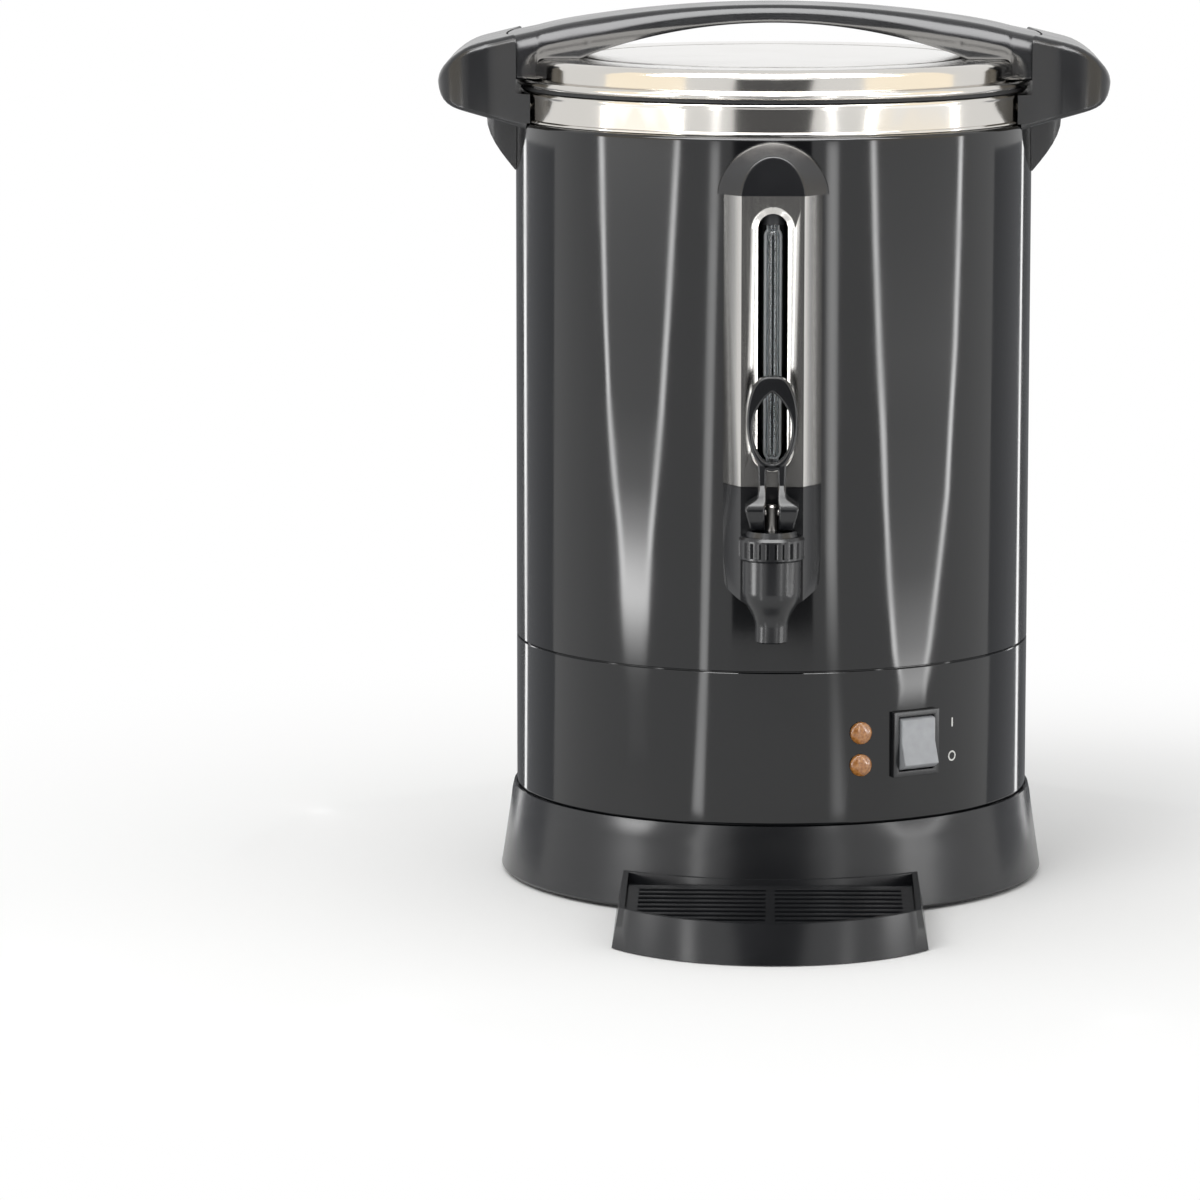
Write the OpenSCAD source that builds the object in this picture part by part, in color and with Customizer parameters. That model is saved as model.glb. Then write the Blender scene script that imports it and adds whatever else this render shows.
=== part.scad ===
// Double-walled electric coffee urn with a percolator basket, a sight gauge, a lever tap and a drip tray.
// Millimetres, +Z up. The origin lies on the urn's axis, on the surface it stands on, and -Y is the front.

/* [Shells] */
// Outer diameter of the painted shells
body_d = 230; // [215:1:260]
// Sheet thickness of the painted shells
shell_t = 1.2; // [0.8:0.1:1.6]
// Height of the lower shell above the skirt, with the switch and the lamps
lower_h = 68; // [62:1:85]
// Height of the upper shell
upper_h = 231.5; // [215:1:300]
// Groove between the lower and the upper shell
seam_gap = 0.6; // [0.4:0.1:1.2]

/* [Base] */
// How far the skirt's edge stands above the table
foot_gap = 1.5; // [1:0.5:4]
// Height of the flared plastic skirt
skirt_h = 38.5; // [34:0.5:50]
// How far the skirt's top rim stands outside the shell
skirt_proud = 1.8; // [1.5:0.1:3]
// How much the skirt's radius grows from its top to its foot
skirt_flare = 5.4; // [3:0.1:9]
// Wall of the skirt
skirt_t = 3; // [2.5:0.1:4]
// Thickness of the base plate
plate_t = 2.5; // [2:0.1:4]
// Radius of a rubber foot
foot_r = 9; // [7:0.5:12]
// Distance of the feet's middle from the outside of the shell
foot_inset = 19; // [17:1:30]

/* [Pot] */
// Distance between the outside of the shell and the inside of the pot
wall_gap = 12.5; // [11.5:0.5:17]
// Sheet thickness of the pot
pot_t = 1; // [0.8:0.1:1.4]
// Height of the pot's floor above the seam between the shells
pot_floor = 7; // [5:0.5:20]
// How far the polished neck band stands inside the shell
neck_inset = 2.5; // [2:0.1:4]
// Height of the neck band above the upper shell
neck_h = 14.3; // [13:0.1:18]

/* [Lid] */
// How far the lid's rolled flange stands out beyond the neck band
lid_over = 2.5; // [1.8:0.1:3.5]
// Height of the lid's rolled edge
lid_edge = 3.2; // [2.6:0.1:4]
// Width of the flange round the lid's raised part
brim_w = 6; // [5:0.5:8]
// Height of the raised part above the flange
crown_h = 9; // [7:0.5:14]
// Sheet thickness of the lid
lid_t = 1; // [0.8:0.1:1.4]
// Gap that the seal fills between the pot's rim and the flange
seal_gap = 1.6; // [1.4:0.1:2.5]

/* [Handles] */
// Height of the strap's crest above the lid's crown
crest_h = 23.5; // [20:0.5:32]
// Radius of the long arc that the strap and the ears share
crest_r = 530; // [450:5:700]
// Thickness of the strap at its middle
strap_t = 8; // [6:0.5:10]
// Radius of the arc under the strap
under_r = 246; // [220:1:290]
// Width of the strap at its middle
strap_w = 40; // [34:1:46]
// Width of the strap at its ends
strap_end_w = 64; // [56:1:70]
// How far the strap's ends stand out beyond the lid's flange
strap_out = 3.7; // [3:0.1:5]
// Gap between a strap end and an ear
ear_gap = 0.6; // [0.4:0.1:1.2]
// Length of an ear beyond that gap
ear_l = 29.3; // [24:0.1:36]
// Width of an ear where it holds the neck
ear_w = 76; // [68:1:80]
// Corner radius of an ear seen from above
ear_corner = 13; // [10:0.5:16]
// Length of the bracket below an ear
gusset_h = 24; // [18:1:30]
// Width of the bracket below an ear
gusset_w = 24; // [18:1:30]

/* [Gauge] */
// Depth of the gauge cover in front of the shell
cover_depth = 22; // [20:0.5:25]
// Width of the cover across its side faces
cover_w = 42; // [38:1:46]
// Width of the cover's front face
cover_flat = 26.8; // [24:0.2:30]
// Depth of the slanted faces
facet_depth = 12; // [9:0.5:13]
// Sheet thickness of the cover
cover_t = 1.2; // [1:0.1:1.6]
// Length of the stainless cover
cover_h = 124.6; // [110:0.2:150]
// Width of the slot's bevelled edge
slot_bevel_w = 19; // [17:0.5:21]
// Width of the slot
slot_w = 12.8; // [11:0.2:14]
// Distance from the cover's top to the slot
slot_top = 4.6; // [3.5:0.1:8]
// Distance from the cover's foot to the slot
slot_foot = 6; // [4:0.5:10]
// Diameter of the sight tube
sight_d = 8; // [7:0.2:9]
// Bore of the sight tube
sight_bore = 5; // [4:0.2:5.6]
// How far the cap stands out beyond the cover's sides
cap_proud = 3; // [2:0.5:4]

/* [Tap] */
// Height of the tap's shank above the seam
shank_h = 44; // [40:0.5:52]
// Distance from the shell to the spout's axis
tap_reach = 35; // [34:0.5:40]
// Diameter of the spout's tip
spout_d = 14; // [13:0.2:16]
// Bore of the spout
spout_bore = 9.6; // [8:0.2:10]
// Length of the spout below the tap housing
spout_drop = 9; // [6:0.5:14]
// Outer diameter of the tap's chamber
chamber_d = 25; // [24:0.2:27]
// Bore of the tap's chamber
chamber_bore = 18; // [16:0.2:19]
// Diameter of the ribbed bonnet
bonnet_d = 28; // [27:0.2:31]
// Height of the ribbed bonnet
bonnet_h = 10.2; // [9:0.2:12]
// Diameter of the shank's thread
shank_d = 16; // [15:0.2:17]
// Bore of the shank
shank_bore = 10; // [8:0.2:11]
// Diameter of the valve stem
stem_d = 5.6; // [5:0.1:6]

/* [Lever] */
// Width of the lever's ring
ring_w = 22; // [20:0.5:24]
// Height of the lever's ring
ring_h = 44; // [40:0.5:48]
// Width of the eye in the ring
eye_w = 15; // [13:0.2:16]
// Height of the eye in the ring
eye_h = 27.3; // [24:0.1:30]
// Thickness of the lever
lever_t = 7; // [5.5:0.1:8]
// Width of the lever's stem below the ring
lever_neck_w = 6.8; // [6:0.1:8]
// Width of the lever's forked foot
fork_w = 19; // [17:0.5:20]
// Height of the pin above the bonnet when the tap is shut
heel_h = 7.5; // [7:0.1:9]
// How far the stem rises for each radian that the lever tilts
lift_rate = 3; // [2:0.1:3.5]
// Furthest tilt of the lever
lever_tilt_max = 75; // [60:1:80]
// Diameter of the lever's pin
pin_d = 3; // [2.5:0.1:3.5]

/* [Switch and lamps] */
// Angle of the switch from the front, towards the right
switch_angle = 33; // [31:0.5:40]
// Height of the switch above the skirt
switch_h = 34.2; // [28:0.5:40]
// Width of the switch frame
frame_w = 24; // [22:0.5:27]
// Height of the switch frame
frame_h = 29; // [28:0.5:34]
// How far the switch frame stands out of the shell
frame_proud = 2; // [1.6:0.1:3]
// Width of the rocker
rocker_w = 17.6; // [15:0.1:18.5]
// Radius of the rocker's end faces about its pivot
rocker_r = 11.6; // [10.5:0.1:12]
// Angle that the rocker tips
rocker_throw = 18; // [14:1:20]
// Angle of the lamps from the front, towards the right
lamp_angle = 19.8; // [17:0.1:21]
// Height of the lower lamp above the skirt
lamp_h = 26.1; // [22:0.5:32]
// Distance between the two lamps
lamp_step = 14.2; // [13:0.1:18]
// Diameter of a lamp's lens
lamp_d = 9.8; // [8:0.1:11]

/* [Drip tray] */
// Half width of the tray at its rim
tray_half = 64.3; // [60:0.1:68]
// Height of the tray
tray_h = 17.2; // [16:0.1:22]
// How much wider each wall is at the tray's foot
tray_draft = 3; // [1:0.1:5]
// Radius of the tray's rounded front
tray_nose = 80; // [76:1:90]
// Distance from the shell to the centre of the rounded front
tray_out = 21; // [15:1:35]
// Wall of the tray
tray_t = 2.4; // [2:0.1:3]
// How far the grille lies below the rim
grille_deep = 2.2; // [1.5:0.1:3]
// Thickness of the grille
grille_t = 2.6; // [2:0.1:3.5]
// Distance from one grille bar to the next
grille_pitch = 9; // [8:0.5:11]
// Width of a grille bar
grille_bar = 3.8; // [3:0.1:4.5]
// Reach of the tongues that hook the tray to the skirt
tongue_len = 14; // [10:1:18]

/* [Percolator] */
// Diameter of the coffee basket
basket_d = 120; // [105:1:132]
// Depth of the coffee basket
basket_h = 66; // [55:1:72]
// Height of the basket's floor below the shoulder of the pot
basket_drop = 84; // [78:1:100]
// Diameter of the pump tube
pump_d = 12; // [10:0.5:14]
// Diameter of the pump's foot
pump_foot_d = 62; // [50:1:76]

/* [Mains inlet] */
// Width of the inlet's flange
inlet_w = 24; // [23:0.5:28]
// Height of the inlet's flange
inlet_h = 50; // [48:0.5:54]
// Height of the inlet's middle above the skirt
inlet_z = 34; // [32:0.5:42]

/* [Hidden] */

// Sizes of standard parts and clearances
eps = 0.01;          // overlap that makes a cut run past a face
slide_gap = 0.3;     // clearance between pieces that move past each other
touch_gap = 0.1;     // clearance between curved faces that lie against each other
run_gap = 0.05;      // radial running clearance of a shaft
screw_r = 2;         // radius of a 4 mm screw
head_r = 3.6;        // radius of its pan head
head_t = 1.8;        // height of its pan head
base_screw_l = 18;   // length of a base screw

// Colours
painted = [0.10, 0.10, 0.11];
plastic = [0.13, 0.13, 0.14];
steel = [0.78, 0.77, 0.75];
rubber = [0.20, 0.20, 0.20];
silicone = [0.55, 0.55, 0.56];
brass = [0.78, 0.62, 0.30];
amber = [0.93, 0.50, 0.12];
clear = [0.80, 0.85, 0.88, 0.4];
grey = [0.60, 0.60, 0.60];
mica = [0.88, 0.86, 0.80];

// Heights, from the table up
body_r = body_d / 2;
pot_r = body_r - wall_gap;
neck_r = body_r - neck_inset;
lid_r = neck_r + lid_over;
crown_r = lid_r - brim_w;
rim_inset = 1.6;                                  // depth of the seat that the lower shell stands in
skirt_top = foot_gap + skirt_h;
shell_foot = skirt_top - rim_inset;
seam_z = skirt_top + lower_h;
shoulder_z = seam_z + upper_h;
rim_z = shoulder_z + neck_h;
floor_z = seam_z + pot_floor;
flange_z = rim_z + seal_gap;
crown_z = flange_z + lid_edge + crown_h;
crest_z = crown_z + crest_h;

// Base
plate_z = foot_gap + 3.5;                     // underside of the base plate
skirt_top_r = body_r + skirt_proud;
skirt_foot_r = skirt_top_r + skirt_flare;
ledge_t = 4;                                  // thickness of the ring that carries the lower shell
ledge_r = body_r - 11;                        // inner radius of that ring
boss_ring = body_r - 7;                       // distance of the base screws from the axis
foot_ring = body_r - foot_inset;
base_angles = [0, 90, 180, 270];
foot_angles = [45, 135, 225, 315];

// Shells and lid
joggle_h = 8;                                 // the step where the lower shell slips into the upper one
lip_w = 7;                                    // width of the flange turned in at a shell's end
strap_screw_x = crown_r - 12;
strap_screw_y = 15;

// Strap's ends and ears
strap_r = lid_r + strap_out;
ear_inner = strap_r + ear_gap;
ear_reach = ear_inner + ear_l;
ear_screw_angle = 15;
ear_screw_z = shoulder_z + neck_h / 2;
ear_step = rim_z - 1.2;                       // the part of an ear below the lid's flange ends here
nose_len = 18;                                // length of the rounded tip
nose_z = crown_z - 10;                        // height of the tip
ear_root = body_r + 10;                       // an ear is measured this far from the axis
ear_low = shoulder_z + 2;                     // underside of the ear there
bracket_out = 12.6;                           // how far the bracket stands out from the shell

// Tap, from the shank down to the spout and up to the lever
tap_y = body_r + tap_reach;                   // distance from the axis to the spout
shank_z = seam_z + shank_h;
funnel_h = 13.4;                              // height of the funnel
funnel_z = shank_z - 16.1;                    // foot of the funnel
housing_h = 42.6;                             // height of the tap housing above its funnel
spout_z = funnel_z - spout_drop;              // tip of the spout
seat_z = funnel_z + 5;                        // valve seat
cup_z = seat_z + 1.2 + touch_gap;             // the cup's foot rests on the lip of the seat
collar_z = shank_z + 10.6;                    // foot of the bonnet's ribbed collar
deck_z = collar_z + bonnet_h + 2.2;           // top of the bonnet, which carries the lever's heel
pin_z = deck_z + heel_h + touch_gap;          // lever pin when the tap is shut
chamber_r = chamber_d / 2;
neck_top = collar_z + 6;                      // top of the threaded neck inside the bonnet
barb = 0.8;                                   // depth of the groove that holds the cup on the stem
bonnet_in = chamber_bore / 2 + 2.2;           // inner radius of the bonnet's thread
ring_z = 37.6;                                // middle of the ring above the pin
eye_z = 36.6;                                 // middle of the eye above the pin
fork_gap = stem_d / 2 + 0.2;                  // half the space between the cheeks of the fork

// Gauge
cover_y = body_r + cover_depth;               // distance from the axis to the cover's front face
sight_y = body_r + 13.2;                        // distance from the axis to the sight tube
cover_z = funnel_z + funnel_h + housing_h;    // foot of the stainless cover
cap_z = cover_z + cover_h;                    // foot of the black cap
cap_r = cover_w / 2 + cap_proud;              // radius of the cap's round top
cap_sink = 2.4;                               // the round's middle lies this far below the cap's foot
cap_screw_z = cap_z + 10;
sight_r = sight_d / 2;
sight_top = cap_z - 13.8;                     // top of the visible tube
sight_foot = cover_z + 10.3;                  // foot of the visible tube
spigot_r = sight_r * 0.7;                     // radius of the narrow ends that sit in the seals
spigot_l = 8;
seal_r = 4.8;                                 // outer radius of a gauge seal

// Switch and lamps
switch_z = skirt_top + switch_h;
lamp_z = skirt_top + lamp_h;
frame_y = body_r + frame_proud;               // face of the switch frame
pivot_y = frame_y - 3;                        // the rocker's pivot
rocker_gap = 0.3;
lamp_r = lamp_d / 2;

// Drip tray
tray_centre = body_r + tray_out;
tongue_w = 12;
tongue_h = 3;
tongue_x = 36;
tongue_z = plate_z + plate_t + 3;
tray_foot = 0.5;                              // the tray hangs this far above the table
tray_gap = 0.4;                               // between the tray's back and the skirt
tray_top = tray_foot + tray_h;
grille_top = tray_top - grille_deep;
foot_half = tray_half + tray_draft;

// Heater
rod_r = 4;
heater_r = 4;                                 // radius of the sheathed element
heater_ring_r = 42;                           // radius of its loop
heat_plate_z = floor_z - pot_t - touch_gap;   // top of the heat plate
heat_plate_t = 4;
heat_plate_r = 78;
clamp_z = heat_plate_z - heat_plate_t - 2 * heater_r;
clamp_t = 1.5;
cold_end = 22;                                // how far the element's ends come down
cold_window = 32;                             // width of the clamp's cut-out for them
sensor_ring = 63;                             // distance of thermostat and cut-out from the axis
block_w = 22;                                 // terminal block
block_h = 14;
pole_pitch = 10;                              // from one terminal to the next
pole_x = 62;                                  // distance of the block's outer side from the axis

// Percolator
basket_z = shoulder_z - basket_drop;
basket_r = basket_d / 2;
basket_t = 0.8;
pump_r = pump_d / 2;
pump_foot_h = 12;
tube_top = basket_z + basket_h + 12;

// Mains inlet
inlet_mid = skirt_top + inlet_z;
inlet_body_h = 28;
inlet_screw_z = 20;
inlet_face = body_r + 3;
inlet_depth = 22;

// A quarter of a turn is drawn with this many steps where a profile is rounded
steps = 5;

// Points of an arc about [cx, cy] from angle a0 to a1
function arc(cx, cy, r, a0, a1, n = steps) =
    [for (i = [0 : n]) let (a = a0 + (a1 - a0) * i / n) [cx + r * cos(a), cy + r * sin(a)]];

// Turns what is drawn at the front to another place round the urn: positive goes towards the right
module at_angle(angle, z = 0) {
    translate([0, 0, z]) rotate([0, 0, angle]) children();
}

// A cylinder that points to the front, from the distance y0 to y1 in front of the axis
module front_rod(r, y0, y1, x = 0, z = 0) {
    translate([x, -y1, z]) rotate([-90, 0, 0]) cylinder(r = r, h = y1 - y0, $fn = 48);
}

// A block that is centred on the front line, from the distance y0 to y1 in front of the axis
module front_block(w, h, y0, y1, x = 0, z = 0) {
    translate([x - w / 2, -y1, z - h / 2]) cube([w, y1 - y0, h]);
}

// A tube along Z
module pipe(r_out, r_in, z0, z1) {
    translate([0, 0, z0]) difference() {
        cylinder(r = r_out, h = z1 - z0, $fn = 96);
        translate([0, 0, -eps]) cylinder(r = r_in, h = z1 - z0 + 2 * eps, $fn = 96);
    }
}

// A profile turned about the urn's axis
module turned(points) {
    rotate_extrude($fn = 144) polygon(points);
}

// A closed skin through rings that have the same number of points
module loft(rings) {
    n = len(rings[0]);
    m = len(rings);
    sides = [for (i = [0 : m - 2], j = [0 : n - 1])
        let (a = i * n + j, b = i * n + (j + 1) % n, c = b + n, d = a + n)
            each [[a, b, c], [a, c, d]]];
    caps = [[for (j = [n - 1 : -1 : 0]) j], [for (j = [0 : n - 1]) (m - 1) * n + j]];
    polyhedron([for (ring = rings) each ring], concat(sides, caps), convexity = 6);
}

// A ring in the plane X = x: a rounded rectangle from z0 to z1, with w as its half width
function section(x, w, z0, z1, r_low, r_high) =
    let (low = min(r_low, (z1 - z0) * 0.45, w * 0.45), high = min(r_high, (z1 - z0) * 0.45, w * 0.45))
        [for (p = concat(arc(w - low, z0 + low, low, -90, 0, 3), arc(w - high, z1 - high, high, 0, 90, 3),
                         arc(-w + high, z1 - high, high, 90, 180, 3),
                         arc(-w + low, z0 + low, low, 180, 270, 3)))
            [x, p[0], p[1]]];

// ---------------------------------------------------------------- base

// Outer radius of the skirt at height z: a flare that eases off towards the top
function skirt_r(z) = skirt_top_r + skirt_flare * pow(max(0, (skirt_top - z) / skirt_h), 1.15);

module base_skirt() {
    outer = [for (i = [1 : 9]) let (z = foot_gap + skirt_h * i / 10) [skirt_r(z), z]];
    hollow = skirt_h - rim_inset - ledge_t;
    inner = [for (i = [8 : -1 : 0]) let (z = foot_gap + hollow * i / 8) [skirt_r(z) - skirt_t, z]];
    edge = 1.2;
    color(plastic) difference() {
        union() {
            turned(concat(
                [[skirt_foot_r - edge, foot_gap], [skirt_r(foot_gap + edge), foot_gap + edge]],
                outer,
                [[skirt_top_r - 0.5, skirt_top], [body_r + slide_gap, skirt_top],
                 [body_r + slide_gap, shell_foot],
                 [ledge_r, shell_foot], [ledge_r, shell_foot - ledge_t]],
                inner));
            // Screw bosses that hang from the ledge
            for (a = base_angles) at_angle(a)
                translate([0, -boss_ring, plate_z + plate_t])
                    cylinder(r = 5, h = shell_foot - ledge_t - plate_z - plate_t + eps, $fn = 32);
        }
        for (a = base_angles) at_angle(a)
            translate([0, -boss_ring, plate_z])
                cylinder(r = screw_r + run_gap, h = base_screw_l + 2, $fn = 32);
        // Slots for the tongues of the drip tray
        for (side = [-1, 1])
            front_block(tongue_w + 2 * slide_gap, tongue_h + 2 * slide_gap, body_r - 20, skirt_foot_r + 2,
                        side * tongue_x, tongue_z);
    }
}

module base_plate() {
    vent_count = 6;
    vent_pitch = 9;
    color(plastic) difference() {
        translate([0, 0, plate_z])
            cylinder(r = skirt_r(plate_z + plate_t) - skirt_t - slide_gap, h = plate_t, $fn = 144);
        for (a = base_angles) at_angle(a)
            translate([0, -boss_ring, plate_z - eps]) cylinder(r = screw_r + 0.3, h = plate_t + 1, $fn = 32);
        for (a = foot_angles) at_angle(a)
            translate([0, -foot_ring, plate_z - eps]) cylinder(r = 4.1, h = plate_t + 1, $fn = 32);
        translate([0, 0, plate_z - eps]) cylinder(r = rod_r + 0.3, h = plate_t + 1, $fn = 32);
        for (side = [-1, 1], i = [0 : vent_count - 1])
            translate([(i - (vent_count - 1) / 2) * vent_pitch - 1.5, side * 34 - 14, plate_z - eps])
                cube([3, 28, plate_t + 1]);
    }
}

module feet() {
    color(rubber) for (a = foot_angles) at_angle(a) translate([0, -foot_ring, 0])
        rotate_extrude($fn = 48) polygon([
            [0, 0], [foot_r - 1, 0], [foot_r, 1], [foot_r, plate_z - 1], [foot_r - 1, plate_z],
            [3.9, plate_z],
            [3.9, plate_z + plate_t + touch_gap], [5.2, plate_z + plate_t + touch_gap + 0.4],
            [3, plate_z + plate_t + 2.6], [0, plate_z + plate_t + 2.6]]);
}

module base_screws() {
    color(steel) for (a = base_angles) at_angle(a) translate([0, -boss_ring, 0])
        rotate_extrude($fn = 32) polygon([
            [0, plate_z - head_t], [head_r - 0.8, plate_z - head_t], [head_r, plate_z - head_t + 0.8],
            [head_r, plate_z], [screw_r, plate_z], [screw_r, plate_z + base_screw_l],
            [0, plate_z + base_screw_l]]);
}

// ---------------------------------------------------------------- shells and pot

// The lower shell: foot flange turned in, rounded corner, and a step at the top that fits in the upper shell
module lower_shell() {
    corner = 3;
    inner_r = body_r - shell_t;
    top = seam_z - seam_gap;
    step_r = inner_r - touch_gap;
    color(painted) difference() {
        turned(concat(
            [[body_r - lip_w, shell_foot]],
            arc(body_r - corner, shell_foot + corner, corner, -90, 0),
            [[body_r, top - 0.3], [body_r - 0.3, top], [step_r, top], [step_r, top + joggle_h],
             [step_r - shell_t, top + joggle_h], [step_r - shell_t, top - 1.5], [inner_r, top - 3]],
            arc(body_r - corner, shell_foot + corner, corner - shell_t, 0, -90),
            [[body_r - lip_w, shell_foot + shell_t]]));
        at_angle(switch_angle, switch_z)
            front_block(frame_w - 3.4, frame_h - 3.4, body_r - 10, body_r + 5);
        for (i = [0, 1]) at_angle(lamp_angle, lamp_z + i * lamp_step)
            front_rod(lamp_d / 2 - 0.6, body_r - 10, body_r + 5);
        at_angle(180, inlet_mid) {
            front_block(inlet_w - 3, inlet_body_h + 0.6, body_r - 10, body_r + 5);
            for (side = [-1, 1])
                front_rod(screw_r + 0.2, body_r - 10, body_r + 5, 0, side * inlet_screw_z);
        }
    }
}

// The upper shell: a plain tube with its top edge turned in below the bead of the pot's neck
module upper_shell() {
    corner = 1.6;
    inner_r = body_r - shell_t;
    hem_r = neck_r + touch_gap;
    color(painted) difference() {
        turned(concat(
            [[inner_r, seam_z], [body_r - 0.3, seam_z], [body_r, seam_z + 0.3]],
            arc(body_r - corner, shoulder_z - corner, corner, 0, 90),
            [[hem_r, shoulder_z], [hem_r, shoulder_z - shell_t], [inner_r - 0.4, shoulder_z - shell_t],
             [inner_r, shoulder_z - shell_t - 0.4]]));
        front_rod(shank_d / 2 + 0.3, body_r - 10, body_r + 5, 0, shank_z);
        front_rod(screw_r + 0.2, body_r - 10, body_r + 5, 0, cap_screw_z);
    }
}

// The pot: floor, wall, shoulder out to the neck band, bead that rests on the upper shell, and a rolled rim
module inner_pot() {
    corner = 9;
    roll = 1.5;
    bead = 0.9;
    bead_z = shoulder_z + touch_gap + bead;
    out_r = pot_r + pot_t;
    neck_in = neck_r - pot_t;
    slope = neck_in - pot_r;                       // the shoulder rises at 45 degrees
    slope_top = shoulder_z - shell_t - 1;
    color(steel) difference() {
        turned(concat(
            [[0, floor_z - pot_t]],
            arc(pot_r - corner, floor_z + corner, corner + pot_t, -90, 0),
            [[out_r, slope_top - slope - 0.4 * pot_t], [neck_r, slope_top - 0.4 * pot_t],
             [neck_r, bead_z - bead]],
            arc(neck_r, bead_z, bead, -90, 90),
            [[neck_r, rim_z - 2 * roll]],
            arc(neck_r - roll + 0.4, rim_z - roll, roll, -20, 200, 10),
            [[neck_in, rim_z - 2.4 * roll], [neck_in, slope_top], [pot_r, slope_top - slope]],
            arc(pot_r - corner, floor_z + corner, corner, 0, -90),
            [[0, floor_z]]));
        front_rod(shank_d / 2 + 0.3, pot_r - 10, pot_r + 10, 0, shank_z);
        for (side = [-1, 1], a = [-ear_screw_angle, ear_screw_angle]) at_angle(side * 90 + a, ear_screw_z)
            front_rod(screw_r + 0.2, neck_r - 8, neck_r + 5);
    }
}

// ---------------------------------------------------------------- lid

// The seal: a flat ring on the rim with a lip that hangs inside the neck
module lid_seal() {
    neck_in = neck_r - pot_t;
    lip_out = neck_in - 2.6;
    low = rim_z + touch_gap;
    high = flange_z - touch_gap;
    color(silicone) turned([
        [lip_out - 2, low - 4.5], [lip_out - 0.6, low - 4.5], [lip_out, low - 3.5], [lip_out, low],
        [neck_r + 0.3, low], [neck_r + 0.3, high], [lip_out - 2.6, high], [lip_out - 2.6, low]]);
}

// The lid: rolled edge, flange, upright wall, rounded shoulder and a crown with a ring pressed into it
module lid_pan() {
    roll = lid_edge / 2;
    shoulder = 4;
    web_z = flange_z + roll + 0.2;                // the flange lies a little above the middle of the roll
    wall_in = crown_r - lid_t;
    ring_r = crown_r - 24;
    dip = 0.7;
    color(steel) difference() {
        turned(concat(
            [[wall_in, web_z - lid_t / 2], [lid_r - 2 * roll, web_z - lid_t / 2]],
            arc(lid_r - roll, flange_z + roll, roll, -150, 150, 10),
            [[lid_r - 2 * roll, web_z + lid_t / 2], [crown_r, web_z + lid_t / 2]],
            arc(crown_r - shoulder, crown_z - shoulder, shoulder, 0, 90),
            [[ring_r + 1.6, crown_z], [ring_r + 0.5, crown_z - dip], [ring_r - 0.5, crown_z - dip],
             [ring_r - 1.6, crown_z], [0, crown_z], [0, crown_z - lid_t],
             [ring_r - 2, crown_z - lid_t], [ring_r - 1, crown_z - dip - lid_t],
             [ring_r + 1, crown_z - dip - lid_t],
             [ring_r + 2, crown_z - lid_t]],
            arc(crown_r - shoulder, crown_z - shoulder, shoulder - lid_t, 90, 0)));
        for (x = [-1, 1], y = [-1, 1])
            translate([x * strap_screw_x, y * strap_screw_y, crown_z - 5])
                cylinder(r = screw_r + 0.2, h = 10, $fn = 32);
    }
}

// Height of the long arc at the distance x from the axis, and of the arc under the strap
function crest(x) = crest_z - crest_r + sqrt(crest_r * crest_r - x * x);
function underside(x) = crest_z - strap_t - under_r + sqrt(under_r * under_r - x * x);
// Half width of the strap at the distance x from the axis: narrow grip, wide ends
function strap_half(x) =
    let (s = min(1, abs(x) / strap_r))
        (strap_w + (strap_end_w - strap_w) * (1 - cos(180 * pow(s, 1.25))) / 2) / 2;

// The strap: an arch with soft edges that straddles the lid and stands on its flange
module strap_handle() {
    foot_z = flange_z + lid_edge + touch_gap;
    drop = crest_h - strap_t;
    land_x = sqrt(2 * under_r * drop - drop * drop);  // the arch meets the lid's crown here
    half = concat([for (i = [0 : 8]) land_x * i / 8],
                  [for (i = [0 : 6]) land_x + 0.4 + (strap_r - land_x - 0.4) * sin(15 * i)]);
    stations = concat([for (i = [len(half) - 1 : -1 : 1]) -half[i]], half);
    color(plastic) difference() {
        intersection() {
            loft([for (x = stations)
                section(x, strap_half(x), abs(x) < land_x + 0.2 ? underside(x) : foot_z, crest(x), 1.6, 4)]);
            translate([0, 0, foot_z - 1]) cylinder(r = strap_r - eps, h = crest_z, $fn = 144);
        }
        // Room for the lid's crown
        translate([0, 0, foot_z - 2])
            cylinder(r = crown_r + slide_gap, h = crown_z - foot_z + 2 + touch_gap, $fn = 144);
        for (x = [-1, 1], y = [-1, 1])
            translate([x * strap_screw_x, y * strap_screw_y, crown_z - 1])
                cylinder(r = screw_r + run_gap, h = 8, $fn = 32);
    }
}

module strap_screws() {
    under = crown_z - lid_t - touch_gap;
    color(steel) for (x = [-1, 1], y = [-1, 1]) translate([x * strap_screw_x, y * strap_screw_y, 0])
        rotate_extrude($fn = 32) polygon([
            [0, under - head_t], [head_r - 0.8, under - head_t], [head_r, under - head_t + 0.8],
            [head_r, under], [screw_r, under], [screw_r, crown_z + 6], [0, crown_z + 6]]);
}

// ---------------------------------------------------------------- ears

function nose(x) = max(0, min(1, (x - ear_reach + nose_len) / nose_len));
function ear_top(x) = nose_z + (crest(x) - nose_z) * sqrt(1 - pow(nose(x), 2));
function ear_bottom(x) = nose_z - (nose_z - ear_low - 0.28 * (x - ear_root)) * sqrt(1 - pow(nose(x), 6));
function ear_half(x) =
    let (c = max(0, x - ear_reach + ear_corner), taper = (ear_w / 2 - 3) + 3 * max(0, (ear_root - x) / 20))
        taper - ear_corner + sqrt(max(0, ear_corner * ear_corner - c * c));

// Depth of the bracket below the ear's underside: a curve from the shell out to the ear, none at either end
function bracket(x) =
    x > body_r + bracket_out + eps || x < body_r - 8 ? 0
        : ear_bottom(x) - ear_low + gusset_h * (1 - asin(min(1, max(0, x - body_r) / bracket_out)) / 90);
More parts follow.
